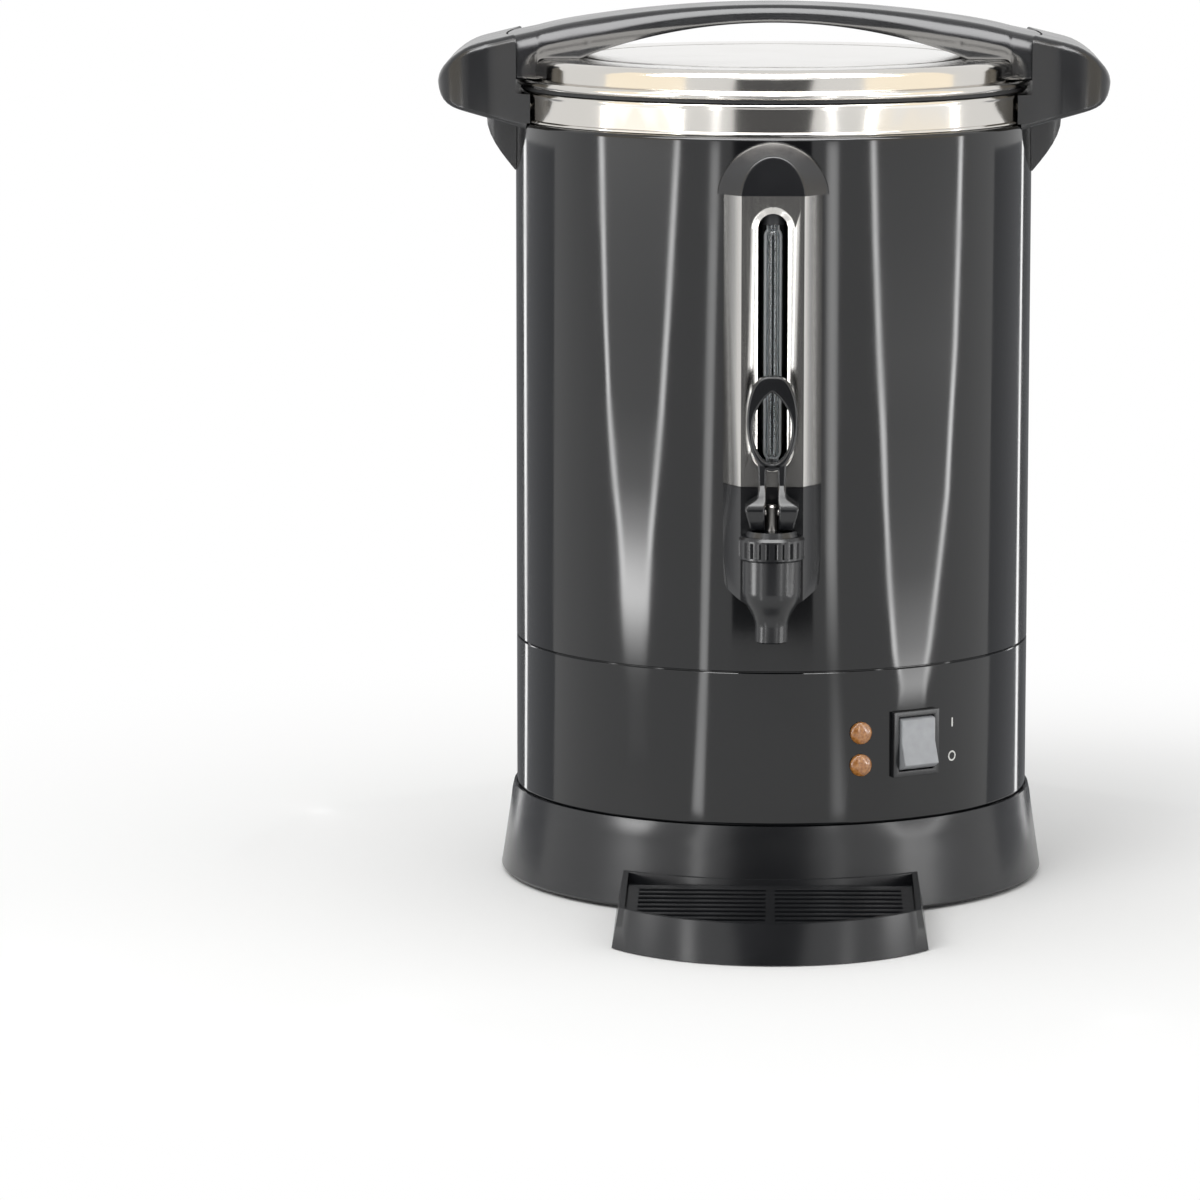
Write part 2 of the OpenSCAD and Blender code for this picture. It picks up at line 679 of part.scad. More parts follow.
// The ear's section, with the bracket as a rib in the middle of its slightly rounded underside
function ear_ring(x) =
    let (ring = section(x, ear_half(x), ear_bottom(x), ear_top(x), 2.4, 3.6), z = ring[0][2] - bracket(x),
         g = gusset_w / 2, root = ring[0][2] - 0.1)
        concat(ring, [[x, -g - 2, root], [x, -g, z - 0.2], [x, g, z - 0.2], [x, g + 2, root]]);

// The right ear: a rounded lobe clamped to the neck, hollow below for fingers, with a bracket down the shell
module ear() {
    straight = ear_reach - nose_len;
    stations = concat([body_r - 12, body_r - 7],
                      [for (i = [0 : 6]) body_r + bracket_out * sin(15 * i)],
                      [for (i = [0 : 9]) straight + nose_len * sin(9.7 * i)]);
    wall = 3.4;
    pocket_in = ear_inner + 9;
    pocket_out = ear_reach - 5;
    pocket_half = ear_w / 2 - ear_corner;
    pocket_top = nose_z + 2;
    difference() {
        loft([for (x = stations) ear_ring(x)]);
        // The neck, the shell and the turning strap stay clear
        turned([[0, shoulder_z - 3 * gusset_h], [body_r + touch_gap, shoulder_z - 3 * gusset_h],
                [body_r + touch_gap, shoulder_z + 0.3],
                [neck_r + 1.2, shoulder_z + 0.3], [neck_r + 1.2, ear_step], [ear_inner, ear_step],
                [ear_inner, crest_z + 5], [0, crest_z + 5]]);
        translate([pocket_in, -pocket_half, ear_low - gusset_h])
            cube([pocket_out - pocket_in, 2 * pocket_half, pocket_top - ear_low + gusset_h]);
        for (a = [-ear_screw_angle, ear_screw_angle]) at_angle(90 + a, ear_screw_z)
            front_rod(screw_r + run_gap, neck_r - 8, neck_r + 9);
    }
}

module right_ear() {
    color(plastic) ear();
}

module left_ear() {
    color(plastic) mirror([1, 0, 0]) ear();
}

module ear_screws() {
    bore = neck_r - pot_t - touch_gap;
    color(steel) for (side = [-1, 1], a = [-ear_screw_angle, ear_screw_angle])
        at_angle(side * 90 + a, ear_screw_z) {
            front_rod(screw_r, bore - eps, neck_r + 8.5);
            front_rod(head_r, bore - head_t, bore);
        }
}

// ---------------------------------------------------------------- gauge

// Plan of the cover: front face, slanted faces and sides, drawn inset from its outer face
module cover_plan(inset) {
    half = cover_w / 2 - inset;
    flat = cover_flat / 2 - inset * 0.45;
    facet_y = cover_y - facet_depth - inset * 0.35;
    polygon([[-half, -body_r + 12], [-half, -facet_y], [-flat, -cover_y + inset], [flat, -cover_y + inset],
             [half, -facet_y], [half, -body_r + 12]]);
}

// The space that the painted shell fills, cut away from whatever lies against it
module shell_space(z0, z1, gap = touch_gap) {
    translate([0, 0, z0]) cylinder(r = body_r + gap, h = z1 - z0, $fn = 144);
}

// A long hole with round ends, w wide at the front face and w_in wide at the depth of the sheet
module slot_cut(w, w_in, z0, z1, y0, y1) {
    for (z = [z0 + w / 2, z1 - w / 2]) translate([0, -y1, z]) rotate([-90, 0, 0])
        cylinder(r1 = w / 2, r2 = w_in / 2, h = y1 - y0, $fn = 48);
    translate([0, 0, z0 + w / 2]) linear_extrude(z1 - z0 - w)
        polygon([[-w / 2, -y1], [w / 2, -y1], [w_in / 2, -y0], [-w_in / 2, -y0]]);
}

// The folded stainless cover, with a bevelled slot through its front
module gauge_cover() {
    slot_z0 = cover_z + slot_foot;
    slot_z1 = cap_z - slot_top;
    lip = (slot_bevel_w - slot_w) / 2;
    back = cover_y - 2.4;                      // the bevelled lip is turned in this deep
    color(steel) difference() {
        union() {
            difference() {
                translate([0, 0, cover_z + touch_gap]) linear_extrude(cover_h - 2 * touch_gap) cover_plan(0);
                translate([0, 0, cover_z - 1]) linear_extrude(cover_h + 2) cover_plan(cover_t);
            }
            // Lip round the slot
            slot_cut(slot_bevel_w, slot_bevel_w, slot_z0, slot_z1, back, cover_y - cover_t + eps);
        }
        slot_cut(slot_bevel_w + 2 * eps, slot_w, slot_z0 - eps, slot_z1 + eps, back + 0.6, cover_y + eps);
        slot_cut(slot_w, slot_w, slot_z0 + lip, slot_z1 - lip, back - 5, back + 1);
        shell_space(cover_z - 1, cap_z + 1);
    }
}

// The dome that closes the cover, from the height z0: a short round wall, a slanted face and a flat front
module dome(inset, z0) {
    front = cover_y - inset;
    facet_y = cover_y - facet_depth;
    intersection() {
        translate([0, 0, cap_z - cap_sink]) union() {
            front_rod(cap_r - inset, body_r - 12, facet_y);
            translate([0, -front, 0]) rotate([-90, 0, 0])
                cylinder(r1 = cover_flat / 2 - inset * 0.5, r2 = cap_r - inset, h = front - facet_y + eps,
                         $fn = 96);
        }
        translate([-cap_r, -cover_y, z0]) cube([2 * cap_r, cover_y, cap_r]);
    }
}

module gauge_cap() {
    wall = 2.4;
    color(plastic) difference() {
        union() {
            difference() {
                dome(0, cap_z);
                dome(wall, cap_z + wall);
            }
            translate([0, -sight_y, sight_top + 0.8])
                cylinder(r = seal_r + 1.4, h = cap_z - sight_top + wall, $fn = 48);
            intersection() {
                front_rod(5, body_r - 2, cover_y - 1, 0, cap_screw_z);
                dome(0, cap_z);
            }
        }
        translate([0, -sight_y, sight_top - 1])
            cylinder(r = seal_r + touch_gap / 2, h = cap_z - sight_top + 1, $fn = 48);
        front_rod(screw_r + run_gap, body_r - 5, body_r + 12, 0, cap_screw_z);
        shell_space(cap_z - 20, cap_z + 30);
    }
}

module cap_screw() {
    seat = body_r - shell_t - touch_gap;
    color(steel) {
        front_rod(screw_r, seat - eps, body_r + 11.5, 0, cap_screw_z);
        front_rod(head_r, seat - head_t, seat, 0, cap_screw_z);
    }
}

// The clear tube: round shoulders and narrow ends, bored right through
module sight_tube() {
    color(clear) translate([0, -sight_y, 0]) difference() {
        rotate_extrude($fn = 48) polygon(concat(
            [[0, sight_foot - spigot_l], [spigot_r, sight_foot - spigot_l]],
            [[spigot_r, sight_foot + sight_r - sight_r * sin(acos(spigot_r / sight_r))]],
            arc(0, sight_foot + sight_r, sight_r, -acos(spigot_r / sight_r), 0),
            arc(0, sight_top - sight_r, sight_r, 0, acos(spigot_r / sight_r)),
            [[spigot_r, sight_top + spigot_l], [0, sight_top + spigot_l]]));
        translate([0, 0, sight_foot - spigot_l - 1]) cylinder(r = spigot_r - 1, h = 400, $fn = 48);
        translate([0, 0, sight_foot + 2])
            cylinder(r = sight_bore / 2, h = sight_top - sight_foot - 4, $fn = 48);
    }
}

module gauge_seals() {
    color(silicone) translate([0, -sight_y, 0]) {
        pipe(seal_r, spigot_r + run_gap, sight_top + 1, sight_top + 7);
        pipe(seal_r, spigot_r + run_gap, sight_foot - 7, sight_foot - 1);
    }
}

// ---------------------------------------------------------------- tap

// Half width of the housing at height z: straight above, and an S-curve down to the spout
function housing_half(z, inset = 0) =
    let (s = max(0, min(1, (z - funnel_z) / funnel_h)))
        spout_d / 2 - 1 + (cover_w / 2 - 0.5 - spout_d / 2 + 1) * (0.5 - 0.5 * cos(180 * s)) - inset;

module housing_front(inset) {
    top = cover_z - touch_gap + 3 * inset;
    half = cover_w / 2 - inset;
    levels = [for (i = [0 : 12]) funnel_z + inset + (funnel_h - inset) * i / 12];
    rotate([90, 0, 0]) linear_extrude(cover_y + 1) polygon(concat(
        [for (z = levels) [housing_half(z, inset), z]],
        [[half, cover_z - 30], [half, top], [-half, top], [-half, cover_z - 30]],
        [for (i = [12 : -1 : 0]) [-housing_half(levels[i], inset), levels[i]]]));
}

// The housing carries on the faces of the gauge cover and narrows to a funnel behind the spout
module tap_housing() {
    wall = 2.2;
    color(plastic) difference() {
        intersection() {
            housing_front(0);
            translate([0, 0, funnel_z - 1]) linear_extrude(cover_z - funnel_z + 2) cover_plan(0);
        }
        intersection() {
            housing_front(wall);
            translate([0, 0, funnel_z - 1]) linear_extrude(cover_z - funnel_z + 20) cover_plan(wall);
        }
        front_rod(shank_d / 2 + 0.6, cover_y - 6, cover_y + 3, 0, shank_z);
        // Hollow for the round back of the tap's chamber
        translate([0, -tap_y, funnel_z - 5])
            cylinder(r = chamber_r + touch_gap, h = cover_z - funnel_z, $fn = 96);
        translate([0, -tap_y, collar_z - 1])
            cylinder(r = bonnet_d / 2 + slide_gap, h = bonnet_h + 3, $fn = 96);
        shell_space(funnel_z - 5, cover_z + 5);
    }
}

// The tap: spout, round chamber, shank through both walls, and the riser that feeds the sight tube
module tap_body() {
    seat_lip = 1.2;
    riser_r = seal_r + 1.2;
    riser_top = sight_foot - 0.6;
    shank_in = pot_r - 13;
    flange_y = body_r + 3;
    color(plastic) difference() {
        union() {
            translate([0, -tap_y, 0]) rotate_extrude($fn = 96) polygon(concat(
                [[0, spout_z], [spout_d / 2 - 0.5, spout_z], [spout_d / 2, spout_z + 0.5]],
                [for (i = [0 : 8]) let (s = i / 8)
                    [spout_d / 2 + (chamber_r - spout_d / 2) * (0.5 - 0.5 * cos(180 * s)),
                     funnel_z - 2 + 15 * s]],
                [[chamber_r, collar_z - touch_gap], [bonnet_in - 0.2, collar_z - touch_gap],
                 [bonnet_in - 0.2, neck_top], [0, neck_top]]));
            front_rod(shank_d / 2, shank_in, tap_y - 3, 0, shank_z);
            front_rod(shank_d / 2 + 4, flange_y, flange_y + 3, 0, shank_z);
            translate([0, -sight_y, shank_z]) cylinder(r = riser_r, h = riser_top - shank_z, $fn = 48);
        }
        // Water way: shank, chamber, seat and spout
        front_rod(shank_bore / 2, shank_in - 1, tap_y - 3, 0, shank_z);
        translate([0, -tap_y, seat_z]) difference() {
            cylinder(r = chamber_bore / 2, h = 60, $fn = 96);
            translate([0, 0, -eps]) cylinder(r = spout_bore / 2 + 1.4, h = seat_lip, $fn = 64);
        }
        translate([0, -tap_y, spout_z - 1]) cylinder(r = spout_bore / 2, h = 40, $fn = 64);
        // Riser to the sight tube
        translate([0, -sight_y, shank_z]) cylinder(r = 2.4, h = 60, $fn = 32);
        translate([0, -sight_y, sight_foot - spigot_l - 0.6])
            cylinder(r = seal_r + touch_gap / 2, h = 20, $fn = 48);
    }
}

// The bonnet: a ribbed collar with a flat deck, screwed on the chamber
module tap_bonnet() {
    ribs = 24;
    color(plastic) translate([0, -tap_y, 0]) difference() {
        rotate_extrude($fn = 96) polygon([
            [0, collar_z], [bonnet_d / 2 - 0.8, collar_z], [bonnet_d / 2, collar_z + 0.8],
            [bonnet_d / 2, collar_z + bonnet_h - 1.2], [bonnet_d / 2 - 1.2, collar_z + bonnet_h],
            [bonnet_d / 2 - 3, collar_z + bonnet_h], [bonnet_d / 2 - 3.8, deck_z], [0, deck_z]]);
        translate([0, 0, collar_z - 1])
            cylinder(r = bonnet_in, h = neck_top - collar_z + 1 + touch_gap, $fn = 96);
        translate([0, 0, neck_top - 1]) cylinder(r = chamber_bore / 2, h = deck_z - neck_top - 0.6, $fn = 96);
        translate([0, 0, collar_z]) cylinder(r = stem_d / 2 + run_gap, h = 40, $fn = 48);
        for (i = [0 : ribs - 1]) rotate([0, 0, (i + 0.5) * 360 / ribs]) translate([0, 0, collar_z + 1.6])
            linear_extrude(bonnet_h - 3.6)
                polygon([[bonnet_d / 2 - 0.8, 0], [bonnet_d / 2 + 0.2, -1.1], [bonnet_d / 2 + 0.2, 1.1]]);
    }
}

// The stem: a rod with a barb for the seat cup and a cross hole for the lever's pin
module valve_stem() {
    top = pin_z + 3.4;
    r = stem_d / 2;
    color(steel) translate([0, -tap_y, 0]) difference() {
        rotate_extrude($fn = 48) polygon([
            [0, cup_z + 3], [r - barb, cup_z + 3], [r - barb, cup_z + 6], [r + 1.2, cup_z + 6],
            [r + 1.2, cup_z + 7.2], [r, cup_z + 7.2], [r, top - 0.8], [r - 0.8, top], [0, top]]);
        translate([-stem_d, 0, pin_z]) rotate([0, 90, 0])
            cylinder(r = pin_d / 2 + run_gap, h = 2 * stem_d, $fn = 32);
    }
}

// The silicone cup that closes the seat
module seat_cup() {
    r = chamber_bore / 2 - 1;
    stem_in = stem_d / 2 - barb + run_gap;
    barb_in = stem_d / 2 + 1.2 + run_gap;
    color(silicone) translate([0, -tap_y, 0]) rotate_extrude($fn = 64) polygon([
        [0, cup_z], [spout_bore / 2 + 1.4, cup_z], [r, cup_z + 1.6], [r, cup_z + 3.6], [r - 2.4, cup_z + 5.4],
        [r - 2.6, cup_z + 8], [barb_in, cup_z + 8], [barb_in, cup_z + 6 - run_gap],
        [stem_in, cup_z + 6 - run_gap], [stem_in, cup_z + 3 - run_gap], [0, cup_z + 3 - run_gap]]);
}

// ---------------------------------------------------------------- lever

// The heel's outline about the pin, in the lever's own Y-Z plane. The distance from the pin to the deck has
// to grow in step with the tilt, h = heel_h + lift_rate * tilt, so each point is h along the direction that
// faces the deck plus lift_rate across it: an involute, which the flat deck touches at one fixed distance in
// front of the pin.
function heel_point(tilt) =
    let (h = heel_h + lift_rate * tilt * PI / 180)
        [-h * sin(tilt) - lift_rate * cos(tilt), -h * cos(tilt) + lift_rate * sin(tilt)];

module heel_plan() {
    back = 5.6;
    over = lever_tilt_max + 6;
    last = heel_point(over);
    polygon(concat(
        [[back, 3], [back, -heel_h + 2], [back - 2, -heel_h]],
        [for (i = [0 : 14]) heel_point(over * i / 14)],
        [last + 2.4 * [cos(over) * -0.2, 1], [-lever_t / 2, 12], [lever_t / 2, 12]]));
}

// Half width of the ring at height z above its middle: an egg that is fuller below
function egg(z, w, h) = w / 2 * sqrt(max(0, 1 - pow(2 * z / h, 2))) * (1 - 0.16 * z / h);

// Flat outline of ring, neck and forked foot, seen from the front with the pin at the origin
module lever_front() {
    neck = lever_neck_w / 2;
    spread = fork_w / 2 - neck;
    foot = [for (i = [1 : 7]) let (s = i / 8) [neck + spread * (0.5 + 0.5 * cos(180 * s)), 3.4 + 10 * s]];
    n = 20;
    ring = [for (i = [0 : n]) let (z = -ring_h / 2 * cos(180 * i / n)) [egg(z, ring_w, ring_h), ring_z + z]];
    polygon(concat(ring, [for (i = [n - 1 : -1 : 1]) [-ring[i][0], ring[i][1]]]));
    polygon(concat(
        [[fork_w / 2, 0], [fork_w / 2, 3.4]], foot,
        [[neck, 13.4], [neck, ring_z - ring_h / 2 + 5], [-neck, ring_z - ring_h / 2 + 5], [-neck, 13.4]],
        [for (i = [6 : -1 : 0]) [-foot[i][0], foot[i][1]]],
        [[-fork_w / 2, 3.4], [-fork_w / 2, 0]]));
}

// The lever: an upright ring on a forked foot whose heel rolls on the bonnet's deck
module tap_lever() {
    n = 20;
    color(plastic) translate([0, -tap_y, pin_z]) difference() {
        union() {
            translate([0, lever_t / 2, 0]) rotate([90, 0, 0]) linear_extrude(lever_t) lever_front();
            intersection() {
                translate([-fork_w / 2, 0, 0]) rotate([90, 0, 90]) linear_extrude(fork_w) heel_plan();
                translate([0, 20, 0]) rotate([90, 0, 0]) linear_extrude(40) union() {
                    lever_front();
                    translate([-fork_w / 2, -20]) square([fork_w, 20.01]);
                }
            }
        }
        translate([0, 10, eye_z]) rotate([90, 0, 0]) linear_extrude(20) polygon(
            [for (i = [0 : 2 * n - 1]) let (z = -eye_h / 2 * cos(180 * i / n), side = i < n ? 1 : -1)
                [side * max(0, egg(z, eye_w, eye_h)), z]]);
        translate([-fork_gap, -20, -20]) cube([2 * fork_gap, 40, 25.4]);
        translate([-fork_w, 0, 0]) rotate([0, 90, 0])
            cylinder(r = pin_d / 2 + run_gap, h = 2 * fork_w, $fn = 32);
    }
}

module lever_pin() {
    color(steel) translate([-fork_w / 2 + 0.3, -tap_y, pin_z]) rotate([0, 90, 0])
        cylinder(r = pin_d / 2, h = fork_w - 0.6, $fn = 32);
}

// Hexagon nut on the shank, inside the pot
module shank_nut() {
    outer = pot_r - 6;
    color(plastic) difference() {
        translate([0, -outer, shank_z]) rotate([-90, 0, 0]) union() {
            cylinder(r = 13, h = 5.5, $fn = 6);
            translate([0, 0, -0.8]) cylinder(r = 12.4, h = 1.2, $fn = 48);
        }
        front_rod(shank_d / 2 + run_gap, outer - 20, outer + 5, 0, shank_z);
    }
}

// Silicone washers: one shaped to the shell below the flange, one shaped to the pot under the nut
module shank_washers() {
    color(silicone) {
        difference() {
            front_rod(shank_d / 2 + 4, body_r - 6, body_r + 3 - touch_gap, 0, shank_z);
            front_rod(shank_d / 2 + run_gap, body_r - 10, body_r + 10, 0, shank_z);
            shell_space(shank_z - 20, shank_z + 20, run_gap);
        }
        difference() {
            front_rod(shank_d / 2 + 4, pot_r - 5, pot_r + 4, 0, shank_z);
            front_rod(shank_d / 2 + run_gap, pot_r - 10, pot_r + 10, 0, shank_z);
            difference() {
                translate([0, 0, shank_z - 20]) cylinder(r = pot_r + 20, h = 40, $fn = 144);
                translate([0, 0, shank_z - 21]) cylinder(r = pot_r - run_gap, h = 42, $fn = 144);
            }
        }
    }
}

// Sleeve that keeps the two walls apart where the shank passes
module shank_spacer() {
    color(plastic) difference() {
        intersection() {
            front_rod(shank_d / 2 + 3, pot_r - 5, body_r, 0, shank_z);
            translate([0, 0, shank_z - 20]) cylinder(r = body_r - shell_t - touch_gap, h = 40, $fn = 144);
        }
        front_rod(shank_d / 2 + run_gap, pot_r - 10, body_r + 10, 0, shank_z);
        translate([0, 0, shank_z - 21]) cylinder(r = pot_r + pot_t + touch_gap, h = 42, $fn = 144);
    }
}

// ---------------------------------------------------------------- switch and lamps

module switch_frame() {
    color(plastic) at_angle(switch_angle, switch_z) difference() {
        union() {
            difference() {
                front_block(frame_w, frame_h, body_r - 4, frame_y);
                translate([0, 0, -30]) cylinder(r = body_r + touch_gap, h = 60, $fn = 144);
            }
            front_block(frame_w - 4, frame_h - 4, body_r - 12, frame_y - 0.5);
        }
        front_block(rocker_w + 2 * rocker_gap, 2 * rocker_r + 2 * rocker_gap, body_r - 20, frame_y + 1);
    }
}

module switch_body() {
    color(grey) at_angle(switch_angle, switch_z) {
        front_block(frame_w - 4, frame_h - 4, body_r - 24, body_r - 12 - touch_gap);
        for (z = [-7, 0, 7]) front_block(5, 0.8, body_r - 31, body_r - 24 + eps, 0, z);
    }
}

// The rocker: round ends about its pivot, a shallow V across its front, tipped so that its top is pressed
module rocker() {
    color(grey) at_angle(switch_angle, switch_z) translate([0, -pivot_y, 0]) rotate([-rocker_throw / 2, 0, 0])
        difference() {
            translate([-rocker_w / 2, 0, 0]) rotate([0, 90, 0])
                cylinder(r = rocker_r, h = rocker_w, $fn = 96);
            // Everything behind the pivot and in front of the V
            translate([-rocker_w, 2.5, -20]) cube([2 * rocker_w, 20, 40]);
            rotate([90, 0, 90]) translate([0, 0, -rocker_w]) linear_extrude(2 * rocker_w)
                polygon([[-4.6, 0], [-6.4, 12], [-20, 12], [-20, -12], [-6.4, -12]]);
        }
}

module lamp_lenses() {
    seat = body_r + touch_gap;
    color(amber) for (i = [0, 1]) at_angle(lamp_angle, lamp_z + i * lamp_step)
        translate([0, -seat, 0]) rotate([90, 0, 0]) rotate_extrude($fn = 48) polygon(concat(
            [[0, -6], [lamp_r - 0.8, -6], [lamp_r - 0.8, 0], [lamp_r, 0], [lamp_r, 0.9]],
            [for (i = [1 : 5]) let (a = 15 * i) [lamp_r * cos(a * 90 / 75), 0.9 + 1.9 * sin(a * 90 / 75)]]));
}

module lamp_holders() {
    color(plastic) for (i = [0, 1]) at_angle(lamp_angle, lamp_z + i * lamp_step) difference() {
        union() {
            front_rod(lamp_r + 1.2, body_r - 4.5, body_r - shell_t - 0.3);
            front_rod(lamp_r, body_r - 20, body_r - 4.4);
        }
        front_rod(lamp_r - 0.8 + run_gap, body_r - 6 - 0.2, body_r + 1);
    }
}

// ---------------------------------------------------------------- drip tray

// Plan of the tray: straight sides and a round front, inset from the outer wall
module tray_plan(grow) {
    half = tray_half + grow;
    nose_r = tray_nose + grow;
    corner_y = tray_centre + sqrt(nose_r * nose_r - half * half);
    a = asin(half / nose_r);
    polygon(concat(
        [[-half, -body_r + 40], [-half, -corner_y]],
        [for (i = [1 : 15]) let (b = -a + 2 * a * i / 16) [nose_r * sin(b), -tray_centre - nose_r * cos(b)]],
        [[half, -corner_y], [half, -body_r + 40]]));
}

// The skirt's outline with a gap round it, so that the tray's back follows the skirt
module skirt_space(gap) {
    turned(concat(
        [[0, -5], [skirt_r(foot_gap) + gap, -5]],
        [for (i = [0 : 8]) let (z = foot_gap + skirt_h * i / 8) [skirt_r(z) + gap, z]],
        [[0, skirt_top]]));
}

module tray_block(inset, z0, z1) {
    hull() {
        translate([0, 0, z0]) linear_extrude(0.01) tray_plan(tray_draft * (tray_top - z0) / tray_h - inset);
        translate([0, 0, z1 - 0.01]) linear_extrude(0.01)
            tray_plan(tray_draft * (tray_top - z1) / tray_h - inset);
    }
}

module drip_tray() {
    ledge = 2.4;                            // the grille rests on a ledge this wide
    ledge_z = grille_top - grille_t - touch_gap;
    color(plastic) difference() {
        union() {
            difference() {
                tray_block(0, tray_foot, tray_top);
                skirt_space(tray_gap);
            }
            for (side = [-1, 1])
                front_block(tongue_w, tongue_h, skirt_r(tongue_z) - skirt_t - tongue_len,
                            skirt_r(tongue_z) + 1.5,
                            side * tongue_x, tongue_z);
        }
        difference() {
            tray_block(tray_t, ledge_z, tray_top + 1);
            skirt_space(tray_gap + tray_t);
        }
        difference() {
            tray_block(tray_t + ledge, tray_foot + tray_t, ledge_z + 1);
            skirt_space(tray_gap + tray_t + ledge);
        }
    }
}

// The grille: a frame with bars across the tray, cut by slots. Its back edge is straight, just in front of
// the round skirt.
module drip_grille() {
    inset = tray_t + slide_gap;
    border = 5;
    low = grille_top - grille_t;
    far = tray_centre + tray_nose - inset;
    back = skirt_r(low) + tray_gap + tray_t + slide_gap;
    slots = floor((far - back - 2 * border + grille_bar) / grille_pitch);
    slot_l = grille_pitch - grille_bar;
    color(plastic) difference() {
        translate([0, 0, low]) linear_extrude(grille_t) tray_plan(-inset);
        translate([-tray_half, -back, low - 1]) cube([2 * tray_half, back, grille_t + 2]);
        intersection() {
            translate([0, 0, low - 1]) linear_extrude(grille_t + 2) tray_plan(-inset - border);
            for (i = [0 : slots - 1], half = [-1, 1])
                translate([half > 0 ? grille_bar / 2 : -tray_half, border + i * grille_pitch - far, low - 2])
                    cube([tray_half - grille_bar / 2, slot_l, grille_t + 4]);
        }
    }
}

// ---------------------------------------------------------------- heater

module heat_plate() {
    color(steel) translate([0, 0, heat_plate_z - heat_plate_t]) difference() {
        cylinder(r = heat_plate_r, h = heat_plate_t, $fn = 96);
        translate([0, 0, -eps]) cylinder(r = rod_r + 0.3, h = heat_plate_t + 1, $fn = 32);
    }
}

// The element: a loop pressed against the plate, with two cold ends that come down side by side
module heater_ring() {
    z = heat_plate_z - heat_plate_t - heater_r;
    end_angle = 12;
    color(steel) {
        translate([0, 0, z]) rotate_extrude($fn = 96)
            translate([heater_ring_r, 0]) circle(r = heater_r, $fn = 32);
        for (side = [-1, 1]) rotate([0, 0, 90 + side * end_angle]) translate([heater_ring_r, 0, z - cold_end])
            cylinder(r = heater_r - 1, h = cold_end - 1, $fn = 32);
    }
}

// Pressed plate that holds the element up against the heat plate
module heater_clamp() {
    color(steel) translate([0, 0, clamp_z - clamp_t - touch_gap]) difference() {
        cylinder(r = heater_ring_r + heater_r + 2, h = clamp_t, $fn = 96);
        translate([0, 0, -eps]) cylinder(r = rod_r + 0.3, h = 2 * clamp_t, $fn = 32);
        translate([-cold_window / 2, heater_ring_r - 14, -clamp_t])
            cube([cold_window, heater_ring_r, 3 * clamp_t]);
    }
}

module sensor(angle, r, h) {
    top = heat_plate_z - heat_plate_t - touch_gap;
    at_angle(angle) translate([0, -sensor_ring, top - h]) {
        cylinder(r = r, h = h, $fn = 48);
        for (side = [-1, 1]) translate([side * 4 - 1, -3, -6]) cube([2, 0.8, 6 + eps]);
    }
}

module thermostat() {
    color(mica) sensor(60, 8.5, 11);
}

module thermal_cutout() {
    color(mica) sensor(300, 7.5, 9);
}

module terminal_block() {
    poles = 4;
    color(mica) translate([-pole_x, pole_pitch, plate_z + plate_t + touch_gap]) difference() {
        cube([block_w, (poles + 0.2) * pole_pitch, block_h]);
        for (i = [0 : poles - 1])
            translate([block_w / 2, (i + 0.6) * pole_pitch, 4]) cylinder(r = 2.6, h = block_h, $fn = 24);
    }
}

// The rod that holds plate, clamp and base to the pot
module tie_rod() {
    color(steel) translate([0, 0, plate_z - 4]) cylinder(r = rod_r, h = heat_plate_z - plate_z + 4, $fn = 32);
}

module tie_nuts() {
    nut_r = 7.5;
    nut_h = 3.4;
    under_clamp = clamp_z - clamp_t - nut_h - 2 * touch_gap;
    color(steel) for (z = [plate_z - nut_h - touch_gap, under_clamp]) translate([0, 0, z])
        difference() {
            cylinder(r = nut_r, h = nut_h, $fn = 6);
            translate([0, 0, -1]) cylinder(r = rod_r + run_gap, h = nut_h + 2, $fn = 32);
        }
}

// ---------------------------------------------------------------- percolator

// The pump's foot: a shallow bell on the pot's floor, with notches that let water in
module pump_base() {
    r = pump_foot_d / 2;
    low = floor_z + touch_gap;
    color(steel) difference() {
        turned([[r, low], [r, low + 1.2], [r - 4, low + 1.6], [r * 0.5, low + 8],
                [pump_r + 3, low + pump_foot_h],
                [pump_r + run_gap, low + pump_foot_h], [pump_r + run_gap, low + pump_foot_h - 5],
                [pump_r + 2, low + pump_foot_h - 5], [r * 0.5 - 1, low + 6.6], [r - 4.6, low + 0.4],
                [r - 4.6, low]]);
        for (i = [0 : 5]) rotate([0, 0, 60 * i]) translate([r - 9, -2.5, low - 1]) cube([12, 5, 2.2]);
    }
}

// The tube that the boiling water rises in, with the collar that carries the basket
module pump_tube() {
    foot = floor_z + touch_gap + pump_foot_h - 4.5;
    color(steel) turned([
        [pump_r - 0.8, foot], [pump_r, foot], [pump_r, basket_z - 4], [pump_r + 2.5, basket_z - 2.5],
        [pump_r + 2.5, basket_z - touch_gap], [pump_r, basket_z - touch_gap], [pump_r, tube_top],
        [pump_r - 0.8, tube_top]]);
}

// The basket: a can with a sleeve round the tube and a perforated floor
module coffee_basket() {
    sleeve = pump_r + 0.3;
    top = basket_z + basket_h;
    color(steel) difference() {
        turned([[sleeve, basket_z], [basket_r - 4, basket_z], [basket_r, basket_z + 4], [basket_r, top - 1.5],
                [basket_r + 1.8, top], [basket_r + 1.2, top], [basket_r - basket_t, top - 1.6],
                [basket_r - basket_t, basket_z + 4.4], [basket_r - 4.4, basket_z + basket_t],
                [sleeve + basket_t, basket_z + basket_t], [sleeve + basket_t, top - 6], [sleeve, top - 6]]);
        for (ring = [1 : 3], i = [0 : 6 * ring - 1]) rotate([0, 0, 360 * i / (6 * ring)])
            translate([basket_r * (0.1 + 0.22 * ring), 0, basket_z - 1]) cylinder(r = 1.6, h = 4, $fn = 6);
    }
}

